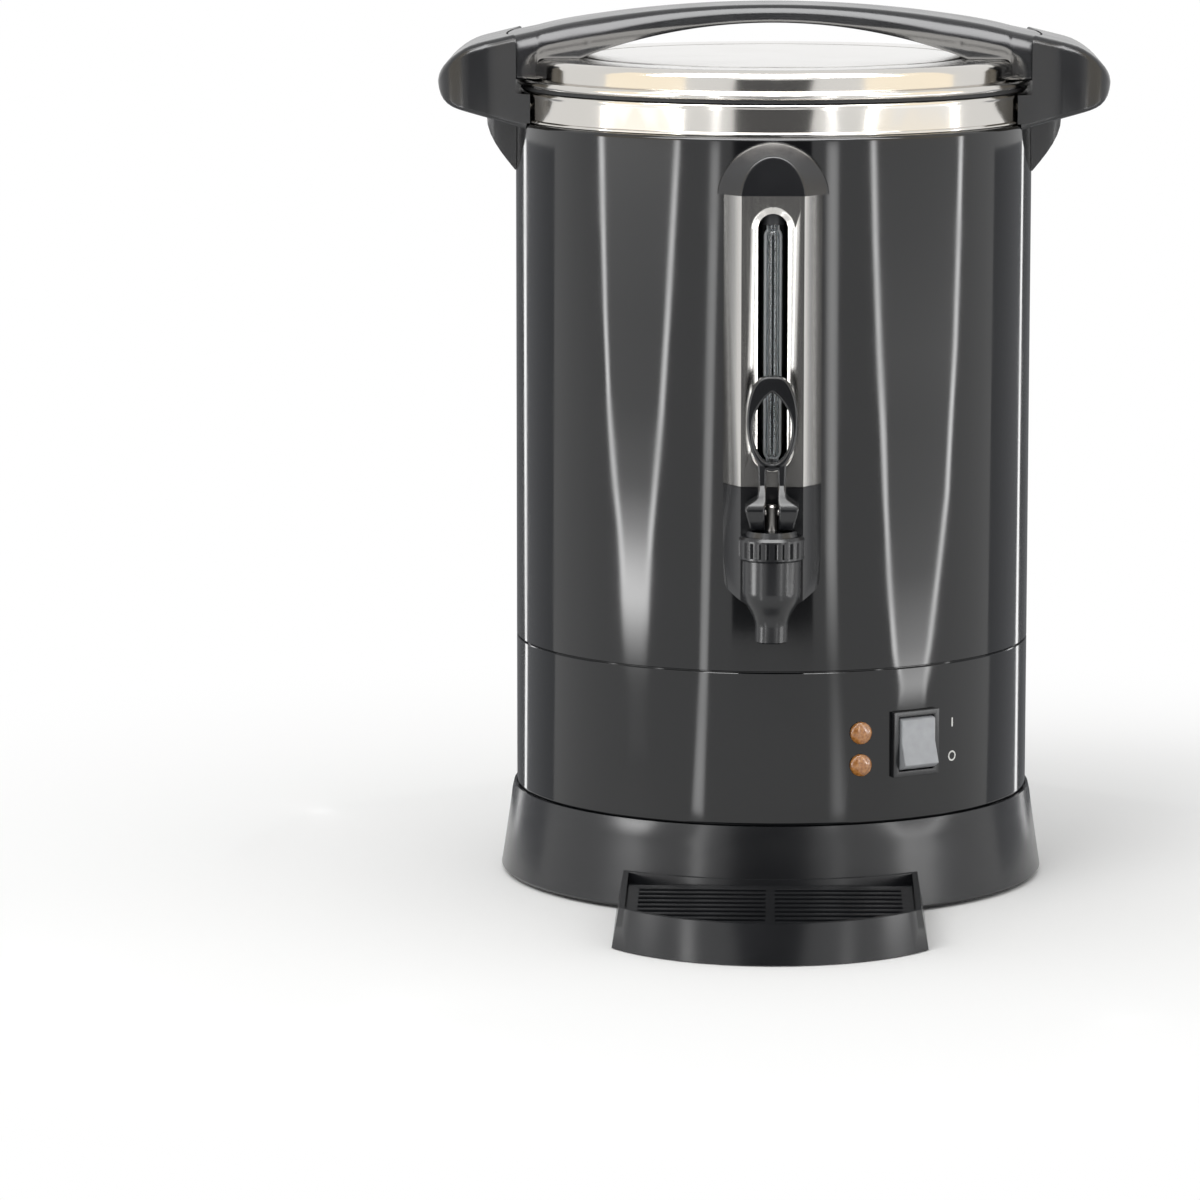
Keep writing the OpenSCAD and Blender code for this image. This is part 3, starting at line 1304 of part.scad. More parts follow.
// Perforated lid of the basket, which spreads the water over the coffee
module basket_spreader() {
    low = basket_z + basket_h + touch_gap;
    lip_r = basket_r - basket_t - 0.4;              // the lip hangs inside the basket's wall
    color(steel) difference() {
        turned([[pump_r + 0.6, low], [lip_r - basket_t, low], [lip_r - basket_t, low - 4],
                [lip_r, low - 4], [lip_r, low], [basket_r + 1.6, low], [basket_r + 1.6, low + basket_t],
                [pump_r + 0.6, low + basket_t]]);
        for (ring = [1 : 4], i = [0 : 6 * ring - 1]) rotate([0, 0, 360 * i / (6 * ring)])
            translate([basket_r * (0.08 + 0.2 * ring), 0, low - 2]) cylinder(r = 1.5, h = 5, $fn = 6);
    }
}

// ---------------------------------------------------------------- mains inlet

// The inlet: flange and socket, with a recess for the connector
module inlet_socket() {
    color(plastic) at_angle(180, inlet_mid) difference() {
        union() {
            difference() {
                front_block(inlet_w, inlet_h, body_r - 3, inlet_face);
                translate([0, 0, -60]) cylinder(r = body_r + touch_gap, h = 120, $fn = 144);
            }
            front_block(inlet_w - 4, inlet_body_h, inlet_face - inlet_depth, inlet_face - 0.5);
        }
        front_block(inlet_w - 7, inlet_body_h - 4, inlet_face - 17, inlet_face + 1);
        for (z = [-7, 0, 7])
            front_block(2 + 2 * run_gap, 4 + 2 * run_gap, inlet_face - 40, inlet_face, pin_row(z), z);
        for (side = [-1, 1]) front_rod(screw_r + 0.2, body_r - 10, body_r + 10, 0, side * inlet_screw_z);
    }
}

// The earth pin lies beside the line through the other two
function pin_row(z) = z == 0 ? 2 : -2;

module inlet_pins() {
    color(brass) at_angle(180, inlet_mid) for (z = [-7, 0, 7])
        front_block(2, 4, inlet_face - inlet_depth - 8, inlet_face - 3, pin_row(z), z);
}

module inlet_screws() {
    color(steel) at_angle(180, inlet_mid) for (side = [-1, 1]) {
        front_rod(screw_r, body_r - 8, inlet_face, 0, side * inlet_screw_z);
        front_rod(head_r, inlet_face + touch_gap / 2, inlet_face + head_t, 0, side * inlet_screw_z);
    }
}

// ---------------------------------------------------------------- assembly

base_skirt();
base_plate();
feet();
base_screws();
lower_shell();
upper_shell();
inner_pot();
lid_seal();
lid_pan();
strap_handle();
strap_screws();
left_ear();
right_ear();
ear_screws();
gauge_cover();
gauge_cap();
cap_screw();
sight_tube();
gauge_seals();
tap_housing();
tap_body();
tap_bonnet();
valve_stem();
seat_cup();
tap_lever();
lever_pin();
shank_nut();
shank_washers();
shank_spacer();
switch_frame();
switch_body();
rocker();
lamp_lenses();
lamp_holders();
drip_tray();
drip_grille();
heat_plate();
heater_ring();
heater_clamp();
thermostat();
thermal_cutout();
terminal_block();
tie_rod();
tie_nuts();
pump_base();
pump_tube();
coffee_basket();
basket_spreader();
inlet_socket();
inlet_pins();
inlet_screws();
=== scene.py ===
# %% [markdown]
# # A double-walled coffee urn
#
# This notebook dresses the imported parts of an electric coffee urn: two enamelled steel shells round a
# stainless pot, a polished lid under an arched strap, a folded steel gauge cover and a black tap. The
# solids arrive finished in size and place. What is left for Blender is what the hand and the eye notice:
# soft edges, smooth curves and real finishes.

import math

import bmesh
import bpy
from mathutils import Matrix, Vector


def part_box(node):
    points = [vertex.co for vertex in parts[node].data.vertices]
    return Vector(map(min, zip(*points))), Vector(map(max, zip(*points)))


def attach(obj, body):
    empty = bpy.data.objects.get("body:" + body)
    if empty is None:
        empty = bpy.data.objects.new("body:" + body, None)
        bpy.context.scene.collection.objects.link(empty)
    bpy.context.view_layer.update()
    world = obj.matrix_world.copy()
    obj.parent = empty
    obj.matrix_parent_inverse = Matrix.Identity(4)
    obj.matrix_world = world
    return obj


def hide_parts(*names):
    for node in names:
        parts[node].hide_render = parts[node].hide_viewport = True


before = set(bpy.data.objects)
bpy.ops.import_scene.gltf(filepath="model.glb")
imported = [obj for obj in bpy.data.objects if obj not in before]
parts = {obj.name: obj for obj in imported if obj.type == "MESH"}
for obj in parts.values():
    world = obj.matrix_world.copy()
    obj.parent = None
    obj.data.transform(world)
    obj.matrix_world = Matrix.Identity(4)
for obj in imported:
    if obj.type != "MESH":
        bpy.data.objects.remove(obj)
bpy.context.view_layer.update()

# %% [markdown]
# ## Small tools
#
# Colours on a screen are sRGB, while the renderer adds up linear light, so one function turns hex values
# to linear. A second one adds a shader node with its settings and its links. Millimetres read better than
# metres in a shape, so `mm` does that conversion wherever a size is written.

# %% Colour, node and length helpers
def linear(hex_colour):
    """sRGB hex to a linear RGBA colour."""
    channels = [int(hex_colour[i : i + 2], 16) / 255 for i in (1, 3, 5)]
    return [c / 12.92 if c <= 0.04045 else ((c + 0.055) / 1.055) ** 2.4 for c in channels] + [1.0]


def add(tree, kind, settings=None, links=None):
    """Adds one node. Settings are input sockets by name or number, or else the node's own properties."""
    node = tree.nodes.new(kind)
    for name, value in (settings or {}).items():
        if isinstance(name, int) or name in node.inputs:
            node.inputs[name].default_value = value
        else:
            setattr(node, name, value)
    for name, source in (links or {}).items():
        tree.links.new(source, node.inputs[name])
    return node


def mm(*values):
    """Millimetres to metres."""
    return values[0] / 1000 if len(values) == 1 else Vector([v / 1000 for v in values])


print("black enamel in linear light:", [round(c, 4) for c in linear("#0E0F11")])

# %% [markdown]
# ## Starting a material
#
# Every finish below starts from the same Principled shader. Object coordinates are in metres and every
# part sits at the origin, so a pattern with features of n millimetres needs a texture scale of 1000 / n,
# on any part.

# %% Start a material
def start_material(name, base, roughness, metallic=0.0, ior=None):
    """A Principled material with its plain values, its tree and its object coordinates."""
    material = bpy.data.materials.new(name)
    material.use_nodes = True
    tree = material.node_tree
    shader = tree.nodes["Principled BSDF"]
    shader.inputs["Base Color"].default_value = linear(base)
    shader.inputs["Roughness"].default_value = roughness
    shader.inputs["Metallic"].default_value = metallic
    if ior is not None:
        shader.inputs["IOR"].default_value = ior
    place = add(tree, "ShaderNodeTexCoord").outputs["Object"]
    return material, tree, shader, place


def per_mm(size):
    """Texture scale for features of that many millimetres."""
    return 1000 / size


# %% [markdown]
# ## Enamelled steel
#
# The shells are mild steel sprayed with black enamel and baked. The coat levels out to a near mirror, but
# not quite: it keeps a faint orange peel, a ripple of two or three millimetres, which makes the edges of
# reflections waver. Handling leaves broad patches where the gloss is a trace duller. Enamel is a clear
# resin, so its IOR is about 1.5.

# %% Black baked enamel
enamel, tree, shader, place = start_material("black_baked_enamel", "#0E0F11", 0.07, ior=1.52)
peel = add(tree, "ShaderNodeTexNoise", {"Scale": per_mm(2.6), "Detail": 1.5}, {"Vector": place})
patches = add(tree, "ShaderNodeTexNoise", {"Scale": per_mm(55), "Detail": 3.0}, {"Vector": place})
dulling = add(tree, "ShaderNodeMapRange",
              {"From Min": 0.35, "From Max": 0.75, "To Min": 0.06, "To Max": 0.12},
              {"Value": patches.outputs["Fac"]})
ripple = add(tree, "ShaderNodeBump", {"Strength": 0.10, "Distance": mm(0.02)},
             {"Height": peel.outputs["Fac"]})
tree.links.new(dulling.outputs["Result"], shader.inputs["Roughness"])
tree.links.new(ripple.outputs["Normal"], shader.inputs["Normal"])
print("finish:", enamel.name)

# %% [markdown]
# ## Moulded ABS
#
# Handles, skirt, tap and tray are black ABS from a polished mould, which leaves a satin sheen over a fine
# pebble. The pebble of a real mould is about 0.3 mm. That is under a pixel here, so it is drawn three
# times as coarse. Broad, faint changes in colour and gloss come from how the plastic flowed and cooled.

# %% Black moulded ABS
black_abs, tree, shader, place = start_material("black_moulded_abs", "#141517", 0.3, ior=1.54)
pebble = add(tree, "ShaderNodeTexVoronoi", {"Scale": per_mm(0.9)}, {"Vector": place})
flow = add(tree, "ShaderNodeTexNoise", {"Scale": per_mm(30), "Detail": 4.0}, {"Vector": place})
tint = add(tree, "ShaderNodeMix", {"data_type": "RGBA", "A": linear("#101113"), "B": linear("#1B1C1F")})
tree.links.new(flow.outputs["Fac"], tint.inputs["Factor"])
sheen = add(tree, "ShaderNodeMapRange", {"To Min": 0.16, "To Max": 0.30}, {"Value": flow.outputs["Fac"]})
grain = add(tree, "ShaderNodeBump", {"Strength": 0.06, "Distance": mm(0.05)},
            {"Height": pebble.outputs["Distance"]})
tree.links.new(tint.outputs["Result"], shader.inputs["Base Color"])
tree.links.new(sheen.outputs["Result"], shader.inputs["Roughness"])
tree.links.new(grain.outputs["Normal"], shader.inputs["Normal"])
print("finish:", black_abs.name)

# %% [markdown]
# ## Spun and polished stainless steel
#
# Lid and pot are spun from sheet on a lathe and then polished, so any mark that is left runs round the
# axis: its height changes with the distance from the axis and with the height, and not with the angle.
# The finish below feeds a noise with those two numbers alone. A metal keeps the shader's own IOR. Real
# polishing lines are hair-fine, so they are drawn about 0.7 mm apart and very shallow.

# %% Polished stainless steel
polished, tree, shader, place = start_material("polished_stainless_steel", "#D2CFCA", 0.1, metallic=1.0)
across = add(tree, "ShaderNodeSeparateXYZ", None, {"Vector": place})
flat = add(tree, "ShaderNodeCombineXYZ", None, {"X": across.outputs["X"], "Y": across.outputs["Y"]})
distance = add(tree, "ShaderNodeVectorMath", {"operation": "LENGTH"}, {0: flat.outputs["Vector"]})
lathe_mark = add(tree, "ShaderNodeCombineXYZ", None,
                 {"X": distance.outputs["Value"], "Y": across.outputs["Z"]})
lines = add(tree, "ShaderNodeTexNoise", {"Scale": per_mm(0.7), "Detail": 2.0},
            {"Vector": lathe_mark.outputs["Vector"]})
haze_and_rim_highlight = add(tree, "ShaderNodeTexNoise", {"Scale": per_mm(40), "Detail": 4.0}, {"Vector": place})
gloss = add(tree, "ShaderNodeMapRange", {"To Min": 0.07, "To Max": 0.17}, {"Value": haze_and_rim_highlight.outputs["Fac"]})
spin = add(tree, "ShaderNodeBump", {"Strength": 0.05, "Distance": mm(0.02)}, {"Height": lines.outputs["Fac"]})
tree.links.new(gloss.outputs["Result"], shader.inputs["Roughness"])
tree.links.new(spin.outputs["Normal"], shader.inputs["Normal"])
print("finish:", polished.name)

# %% [markdown]
# ## Rolled stainless sheet
#
# The gauge cover is folded from bright sheet whose rolling lines run along its length. Stretching the
# texture upwards by forty turns round specks into such lines. A finer grit is laid over them, from the
# mat that the sheet was buffed with: it breaks what the flat front mirrors into a speckle. The same
# sheet, duller, makes the basket and the brackets inside.

# %% Bright rolled sheet and plain steel
sheet, tree, shader, place = start_material("bright_rolled_sheet", "#CFCDC9", 0.14, metallic=1.0)
stretch = add(tree, "ShaderNodeMapping", {"Scale": (1.0, 1.0, 1 / 40)}, {"Vector": place})
rolling = add(tree, "ShaderNodeTexNoise", {"Scale": per_mm(0.8), "Detail": 3.0},
              {"Vector": stretch.outputs["Vector"]})
grit = add(tree, "ShaderNodeTexNoise", {"Scale": per_mm(0.9), "Detail": 4.0}, {"Vector": place})
relief = add(tree, "ShaderNodeMath", {"operation": "MULTIPLY_ADD", 1: 0.6},
             {0: grit.outputs["Fac"], 2: rolling.outputs["Fac"]})
gloss = add(tree, "ShaderNodeMapRange", {"To Min": 0.12, "To Max": 0.26}, {"Value": rolling.outputs["Fac"]})
score = add(tree, "ShaderNodeBump", {"Strength": 0.12, "Distance": mm(0.03)},
            {"Height": relief.outputs["Value"]})
tree.links.new(gloss.outputs["Result"], shader.inputs["Roughness"])
tree.links.new(score.outputs["Normal"], shader.inputs["Normal"])

plain_steel, tree, shader, place = start_material("plain_stainless_steel", "#BDBAB6", 0.3, metallic=1.0)
scuffs = add(tree, "ShaderNodeTexNoise", {"Scale": per_mm(3), "Detail": 6.0}, {"Vector": place})
gloss = add(tree, "ShaderNodeMapRange", {"To Min": 0.22, "To Max": 0.42}, {"Value": scuffs.outputs["Fac"]})
tree.links.new(gloss.outputs["Result"], shader.inputs["Roughness"])
print("finishes:", sheet.name, plain_steel.name)

# %% [markdown]
# ## Clear and coloured plastics
#
# The sight tube is clear polycarbonate, IOR 1.58. Its rims carry a painted highlight: where the wall is
# seen edge-on, the Layer Weight node takes transmission away, so the rims turn white and stand in for the
# light that the thick wall catches. The lamps' lenses are amber polycarbonate, moulded with a frosted
# inside, so light scatters in them: a little transmission and a rough surface under a glossy coat say
# that. The rocker is light grey nylon, which is never quite even in colour.

# %% Polycarbonate and nylon
clear_tube, tree, shader, place = start_material("clear_polycarbonate", "#F4F8FA", 0.03, ior=1.58)
# Painted highlight: where the tube is seen edge-on, transmission gives way to the white base colour, so the
# rims show white.
rim = add(tree, "ShaderNodeLayerWeight", {"Blend": 0.35})
haze_and_rim_highlight = add(tree, "ShaderNodeMapRange", {"From Min": 0.16, "From Max": 0.36, "To Min": 1.0, "To Max": 0.0},
           {"Value": rim.outputs["Facing"]})
tree.links.new(haze_and_rim_highlight.outputs["Result"], shader.inputs["Transmission Weight"])
along = add(tree, "ShaderNodeMapping", {"Scale": (1.0, 1.0, 1 / 20)}, {"Vector": place})
draw = add(tree, "ShaderNodeTexNoise", {"Scale": per_mm(2), "Detail": 1.0},
           {"Vector": along.outputs["Vector"]})
wave = add(tree, "ShaderNodeBump", {"Strength": 0.03, "Distance": mm(0.02)}, {"Height": draw.outputs["Fac"]})
tree.links.new(wave.outputs["Normal"], shader.inputs["Normal"])

amber, tree, shader, place = start_material("amber_polycarbonate", "#C07A2E", 0.25, ior=1.58)
shader.inputs["Transmission Weight"].default_value = 0.25
shader.inputs["Coat Weight"].default_value = 0.8
frost = add(tree, "ShaderNodeTexVoronoi", {"Scale": per_mm(1.2)}, {"Vector": place})
warm = add(tree, "ShaderNodeMix", {"data_type": "RGBA", "A": linear("#9C5A18"), "B": linear("#D8954C")})
tree.links.new(frost.outputs["Distance"], warm.inputs["Factor"])
tree.links.new(warm.outputs["Result"], shader.inputs["Base Color"])

grey_nylon, tree, shader, place = start_material("light_grey_nylon", "#97999C", 0.38, ior=1.53)
mottle = add(tree, "ShaderNodeTexNoise", {"Scale": per_mm(4), "Detail": 3.0}, {"Vector": place})
shade = add(tree, "ShaderNodeMix", {"data_type": "RGBA", "A": linear("#8C8E91"), "B": linear("#A3A5A8")})
tree.links.new(mottle.outputs["Fac"], shade.inputs["Factor"])
tree.links.new(shade.outputs["Result"], shader.inputs["Base Color"])
print("finishes:", clear_tube.name, amber.name, grey_nylon.name)

# %% [markdown]
# ## Rubber, silicone and what is inside
#
# Feet are matt black rubber and the seals grey silicone, which is a little translucent and picks up dust.
# The heat plate is cast aluminium with a sandy skin, the thermostats and the terminal block are pale
# moulded ceramic, and the inlet's pins are brass. The marks beside the switch are screen printed in an
# off-white ink.

# %% Rubber, silicone, aluminium, ceramic, brass and ink
rubber, tree, shader, place = start_material("matt_black_rubber", "#1A1A1A", 0.75, ior=1.52)
dust = add(tree, "ShaderNodeTexNoise", {"Scale": per_mm(2), "Detail": 5.0}, {"Vector": place})
shade = add(tree, "ShaderNodeMix", {"data_type": "RGBA", "A": linear("#151515"), "B": linear("#232323")})
tree.links.new(dust.outputs["Fac"], shade.inputs["Factor"])
tree.links.new(shade.outputs["Result"], shader.inputs["Base Color"])

silicone, tree, shader, place = start_material("grey_silicone", "#2A2B2D", 0.5, ior=1.41)
dust = add(tree, "ShaderNodeTexNoise", {"Scale": per_mm(3), "Detail": 4.0}, {"Vector": place})
shade = add(tree, "ShaderNodeMix", {"data_type": "RGBA", "A": linear("#232426"), "B": linear("#353638")})
tree.links.new(dust.outputs["Fac"], shade.inputs["Factor"])
tree.links.new(shade.outputs["Result"], shader.inputs["Base Color"])

cast_aluminium, tree, shader, place = start_material("cast_aluminium", "#A9AAAC", 0.45, metallic=1.0)
sand = add(tree, "ShaderNodeTexNoise", {"Scale": per_mm(0.8), "Detail": 4.0}, {"Vector": place})
pits = add(tree, "ShaderNodeBump", {"Strength": 0.3, "Distance": mm(0.1)}, {"Height": sand.outputs["Fac"]})
tree.links.new(pits.outputs["Normal"], shader.inputs["Normal"])

ceramic, tree, shader, place = start_material("pale_moulded_ceramic", "#DAD5C8", 0.55, ior=1.5)
specks = add(tree, "ShaderNodeTexNoise", {"Scale": per_mm(1), "Detail": 3.0}, {"Vector": place})
shade = add(tree, "ShaderNodeMix", {"data_type": "RGBA", "A": linear("#CFCABC"), "B": linear("#E2DED3")})
tree.links.new(specks.outputs["Fac"], shade.inputs["Factor"])
tree.links.new(shade.outputs["Result"], shader.inputs["Base Color"])

brass, tree, shader, place = start_material("bare_brass", "#C8A35A", 0.25, metallic=1.0)
tarnish = add(tree, "ShaderNodeTexNoise", {"Scale": per_mm(3), "Detail": 4.0}, {"Vector": place})
gloss = add(tree, "ShaderNodeMapRange", {"To Min": 0.18, "To Max": 0.4}, {"Value": tarnish.outputs["Fac"]})
tree.links.new(gloss.outputs["Result"], shader.inputs["Roughness"])

white_ink, tree, shader, place = start_material("white_screen_ink", "#DADAD6", 0.5, ior=1.5)
print_grain = add(tree, "ShaderNodeTexNoise", {"Scale": per_mm(0.6), "Detail": 3.0}, {"Vector": place})
shade = add(tree, "ShaderNodeMix", {"data_type": "RGBA", "A": linear("#C8C8C4"), "B": linear("#E6E6E2")})
tree.links.new(print_grain.outputs["Fac"], shade.inputs["Factor"])
tree.links.new(shade.outputs["Result"], shader.inputs["Base Color"])
print("finishes:", rubber.name, silicone.name, cast_aluminium.name, ceramic.name, brass.name, white_ink.name)

# %% [markdown]
# ## Which part has which finish
#
# The list reads as a shopping list would: one line for each finish, with the parts made in it.

# %% Hand out the finishes
finishes = [
    (enamel, ["lower_shell", "upper_shell"]),
    (black_abs, ["base_skirt", "base_plate", "strap_handle", "left_ear", "right_ear", "gauge_cap",
                 "tap_housing", "tap_body", "tap_bonnet", "tap_lever", "shank_nut", "switch_frame",
                 "drip_tray", "drip_grille", "inlet_socket"]),
    (polished, ["inner_pot", "lid_pan"]),
    (sheet, ["gauge_cover"]),
    (plain_steel, ["base_screws", "strap_screws", "ear_screws", "cap_screw", "valve_stem", "lever_pin",
                   "heater_ring", "heater_clamp", "tie_rod", "tie_nuts", "pump_base", "pump_tube",
                   "coffee_basket", "basket_spreader", "inlet_screws"]),
    (clear_tube, ["sight_tube"]),
    (amber, ["lamp_lenses"]),
    (grey_nylon, ["rocker", "switch_body", "lamp_holders", "shank_spacer"]),
    (rubber, ["feet"]),
    (silicone, ["lid_seal", "gauge_seals", "seat_cup", "shank_washers"]),
    (cast_aluminium, ["heat_plate"]),
    (ceramic, ["thermostat", "thermal_cutout", "terminal_block"]),
    (brass, ["inlet_pins"]),
]
for finish, names in finishes:
    for name in names:
        parts[name].data.materials.clear()
        parts[name].data.materials.append(finish)
bare = sorted(set(parts) - {name for finish, names in finishes for name in names})
print("parts without a finish:", bare)

# %% [markdown]
# ## Smooth curves, true edges
#
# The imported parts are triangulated, so a round wall is a ring of flat strips. Smooth shading hides the
# strips, but it must stop at true edges, or a folded facet looks like a pillow. Weld joins the triangles'
# corners, Edge Split parts the mesh again only where it turns by more than 35 degrees, and Weighted
# Normal lets the large faces decide where the shading bends. A moulded edge also has a radius, which is
# what catches the light, so the parts whose edges are seen close up get a small bevel before the split.

# %% Smooth shading and soft edges
def soften(part, radius=0, segments=2, sharp=35):
    """Smooth shading that stops at true edges, with an optional small radius on them."""
    weld = part.modifiers.new("join_corners", "WELD")
    weld.merge_threshold = mm(0.002)
    if radius:
        bevel = part.modifiers.new("soft_edges", "BEVEL")
        bevel.width = mm(radius)
        bevel.segments = segments
        bevel.limit_method = "ANGLE"
        bevel.angle_limit = math.radians(sharp + 10)
    split = part.modifiers.new("true_edges", "EDGE_SPLIT")
    split.split_angle = math.radians(sharp)
    part.modifiers.new("large_faces_lead", "WEIGHTED_NORMAL")
    part.data.polygons.foreach_set("use_smooth", [True] * len(part.data.polygons))


# Radius of the edges in millimetres
edge_radius = {"drip_tray": 0.7, "drip_grille": 0.35, "base_skirt": 0.5, "switch_frame": 0.5,
               "rocker": 0.5, "tap_housing": 0.4, "inlet_socket": 0.4}
for name, part in parts.items():
    soften(part, edge_radius.get(name, 0))
print("softened", len(parts), "parts,", len(edge_radius), "with a radius on their edges")

# %% [markdown]
# ## Laying a skin over rings
#
# Three pieces have shapes that flow: the strap, the cap and the lever. All three are made the way a
# boat's hull is, by a skin over cross-sections, and so are the two printed marks. Each section is a ring
# of points in millimetres with the same number of points, and neighbouring rings are joined by four-sided
# faces. Modelling by hand gives the same mesh, but here every section follows from a measure, so it can
# be changed later.

# %% A skin over rings
def skin(name, lofts, finish, body, stands_for, sharp=40):
    """A piece made of lofts, each a list of rings and a flag that joins its last ring to its first."""
    shape = bmesh.new()
    for rings, endless in lofts:
        rows = [[shape.verts.new(mm(*point)) for point in ring] for ring in rings]
        for near, far in list(zip(rows, rows[1:])) + ([(rows[-1], rows[0])] if endless else []):
            for i in range(len(near)):
                j = (i + 1) % len(near)
                shape.faces.new((near[i], near[j], far[j], far[i]))
        if not endless:
            shape.faces.new(rows[0][::-1])
            shape.faces.new(rows[-1])
    bmesh.ops.recalc_face_normals(shape, faces=shape.faces)
    mesh = bpy.data.meshes.new(name)
    shape.to_mesh(mesh)
    shape.free()
    mesh.materials.append(finish)
    piece = bpy.data.objects.new(name, mesh)
    bpy.context.scene.collection.objects.link(piece)
    soften(piece, sharp=sharp)
    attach(piece, body)
    if stands_for:
        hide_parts(stands_for)
    print(name, "has", len(mesh.polygons), "faces")


def step(t):
    """0 to 1 along an S curve."""
    t = max(0.0, min(1.0, t))
    return t * t * (3 - 2 * t)


def arc(centre_a, centre_b, radius, start, end, steps):
    """Points on a circle, from one angle to another in degrees."""
    angles = [math.radians(start + (end - start) * i / steps) for i in range(steps + 1)]
    return [(centre_a + radius * math.cos(a), centre_b + radius * math.sin(a)) for a in angles]


# %% [markdown]
# ## The strap handle
#
# The strap is one ABS moulding that arches over the lid and stands on its rim with wide feet. Its back
# rises 23 mm over the crown on a long arc and turns down over round shoulders, which catch a line of
# light. Both of its sides are hollowed below the grip, which saves plastic and gives the fingers an edge.
# The sections run from foot to foot. Near the feet they bend round the lid, so that the strap ends in the
# same circle as the lid. The hollow is a distance to its outline, sent through an S curve, so its edge is
# soft.

# %% The strap's curves
# All lengths from here to the marks are in millimetres.
strap_low, strap_high = [[1000 * value for value in corner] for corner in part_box("strap_handle")]
crown_top = 1000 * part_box("lid_pan")[1][2]
crest_top, strap_end, foot_bottom = strap_high[2], strap_high[0], strap_low[2]
crest_radius, arch_radius = 530, 246
strap_thickness = 8
grip_width, flare = 40, 12
crown_edge, shoulder_round, shoulder_drop, seat_gap = 109.3, 4.15, 3.9, 0.15
hollow_end, hollow_top, hollow_corner = 110.8, 7.4, 11.0
hollow_depth, hollow_edge = 2.3, 5.2
arch_drop = crest_top - crown_top - strap_thickness
landing = math.sqrt(2 * arch_radius * arch_drop - arch_drop ** 2)


def crest(x):
    """Height of the strap's back."""
    return crest_top - crest_radius + math.sqrt(crest_radius ** 2 - x * x)


def underside(x):
    """Height of the arch's underside."""
    return crest_top - strap_thickness - arch_radius + math.sqrt(arch_radius ** 2 - x * x)


def half_width(x):
    """Half of the strap's width: narrow at the grip, wide at the feet."""
    return (grip_width + flare * (1 - math.cos(math.pi * min(1, abs(x) / strap_end) ** 1.25))) / 2


def hollow(x, z):
    """How far the side face lies back: all its depth inside an outline with a round corner, 0 outside it."""
    from_end, from_top = hollow_end - abs(x), crest(x) - hollow_top - z
    if from_end < hollow_corner and from_top < hollow_corner:
        inside = hollow_corner - math.hypot(hollow_corner - from_end, hollow_corner - from_top)
    else:
        inside = min(from_end, from_top)
    return hollow_depth * step(inside / hollow_edge)


def above_crown(radius):
    """Height of the strap's underside where it rests over the lid's crown and its round shoulder."""
    past = max(0.0, radius - crown_edge + shoulder_round + seat_gap)
    return crown_top - shoulder_drop + math.sqrt(max(0.0, shoulder_round ** 2 - past ** 2)) - seat_gap


print("the arch meets the crown", round(landing, 1), "mm from the axis")


# %% The strap's sections
back_round, lip_round = 6.4, 1.4
wall_depth = 3.0


def strap_section(side, radius, bend, bottom, shrink=0.0):
    """One ring. Its points lie on a circle round the axis as far as `bend` says, 0 for a flat section."""
    half, top = half_width(radius) - shrink, crest(radius) - shrink
    edge = min(back_round, (top - bottom) * 0.45)
    outline = [(half * 0.5, bottom)] + arc(half - lip_round, bottom + lip_round, lip_round, -90, 0, 3)
    first, last = bottom + lip_round, top - edge
    outline += [(half, first + (last - first) * i / 14) for i in range(1, 14)]
    outline += arc(half - edge, top - edge, edge, 0, 90, 6) + [(half * 0.45, top)]
    right = []
    for y, z in outline:
        x = math.sqrt(radius ** 2 - (bend * y) ** 2)
        taper = min(1.0, max(0.0, (y - half + wall_depth) / wall_depth)) if z < top - edge else 0.0
        right.append((side * x, y - hollow(x, z) * taper, z))
    return [(side * radius, 0, bottom)] + right + [(side * radius, 0, top)] + [
        (x, -y, z) for x, y, z in reversed(right)]


def strap_side(side):
    """Sections of one half, from the middle out to the foot."""
    first = 0 if side > 0 else 1
    stations = [landing * i / 26 for i in range(first, 27)]
    rings = [strap_section(side, x, 0, underside(x)) for x in stations]
    for radius in (88, 90, 92.5, 95, 97.5, 100, 102.5, 105, 106.5, 107.7, 108.6, 109.1):
        bend = (radius - landing) / (crown_edge - landing)
        rings.append(strap_section(side, radius, bend, above_crown(radius)))
    rings.append(strap_section(side, crown_edge, 1, foot_bottom))
    for radius, shrink in ((112, 0), (115, 0), (117.6, 0), (118.2, 0.1), (118.55, 0.4), (strap_end, 1.0)):
        rings.append(strap_section(side, radius, 1, foot_bottom + shrink * 0.5, shrink))
    return rings


skin("strap_moulding", [(strap_side(-1)[::-1] + strap_side(1), False)], black_abs, "lid",
     "strap_handle")

# %% [markdown]
# ## The cap over the gauge
#
# A black dome closes the top of the steel channel. It is a moulding with three surfaces: a wall that
# follows the shell, a slope, and a flat arched front. The rings here are arches that grow from the front
# to the back, and the edges between the surfaces get two rings close together, which makes a narrow
# radius.

# %% The cap
cover_front = -1000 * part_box("gauge_cover")[0][1]
cap_bottom = 1000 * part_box("gauge_cover")[1][2]
shell_radius = 115.1
centre_drop = 2.4


def cap_arch(half, rise, front, steps=40):
    """An arch closed along the top of the channel, `front` from the axis, or on the shell without it."""
    centre = cap_bottom - centre_drop
    start = math.asin(centre_drop / rise)
    ring = []
    for i in range(steps + 1):
        angle = start + (math.pi - 2 * start) * i / steps
        x, z = half * math.cos(angle), centre + rise * math.sin(angle)
        ring.append((x, -(front or math.sqrt(shell_radius ** 2 - x * x)), max(z, cap_bottom)))
    return ring + [(ring[-1][0] * 0.5, ring[-1][1], cap_bottom), (ring[0][0] * 0.5, ring[0][1], cap_bottom)]


slope = cover_front - 12
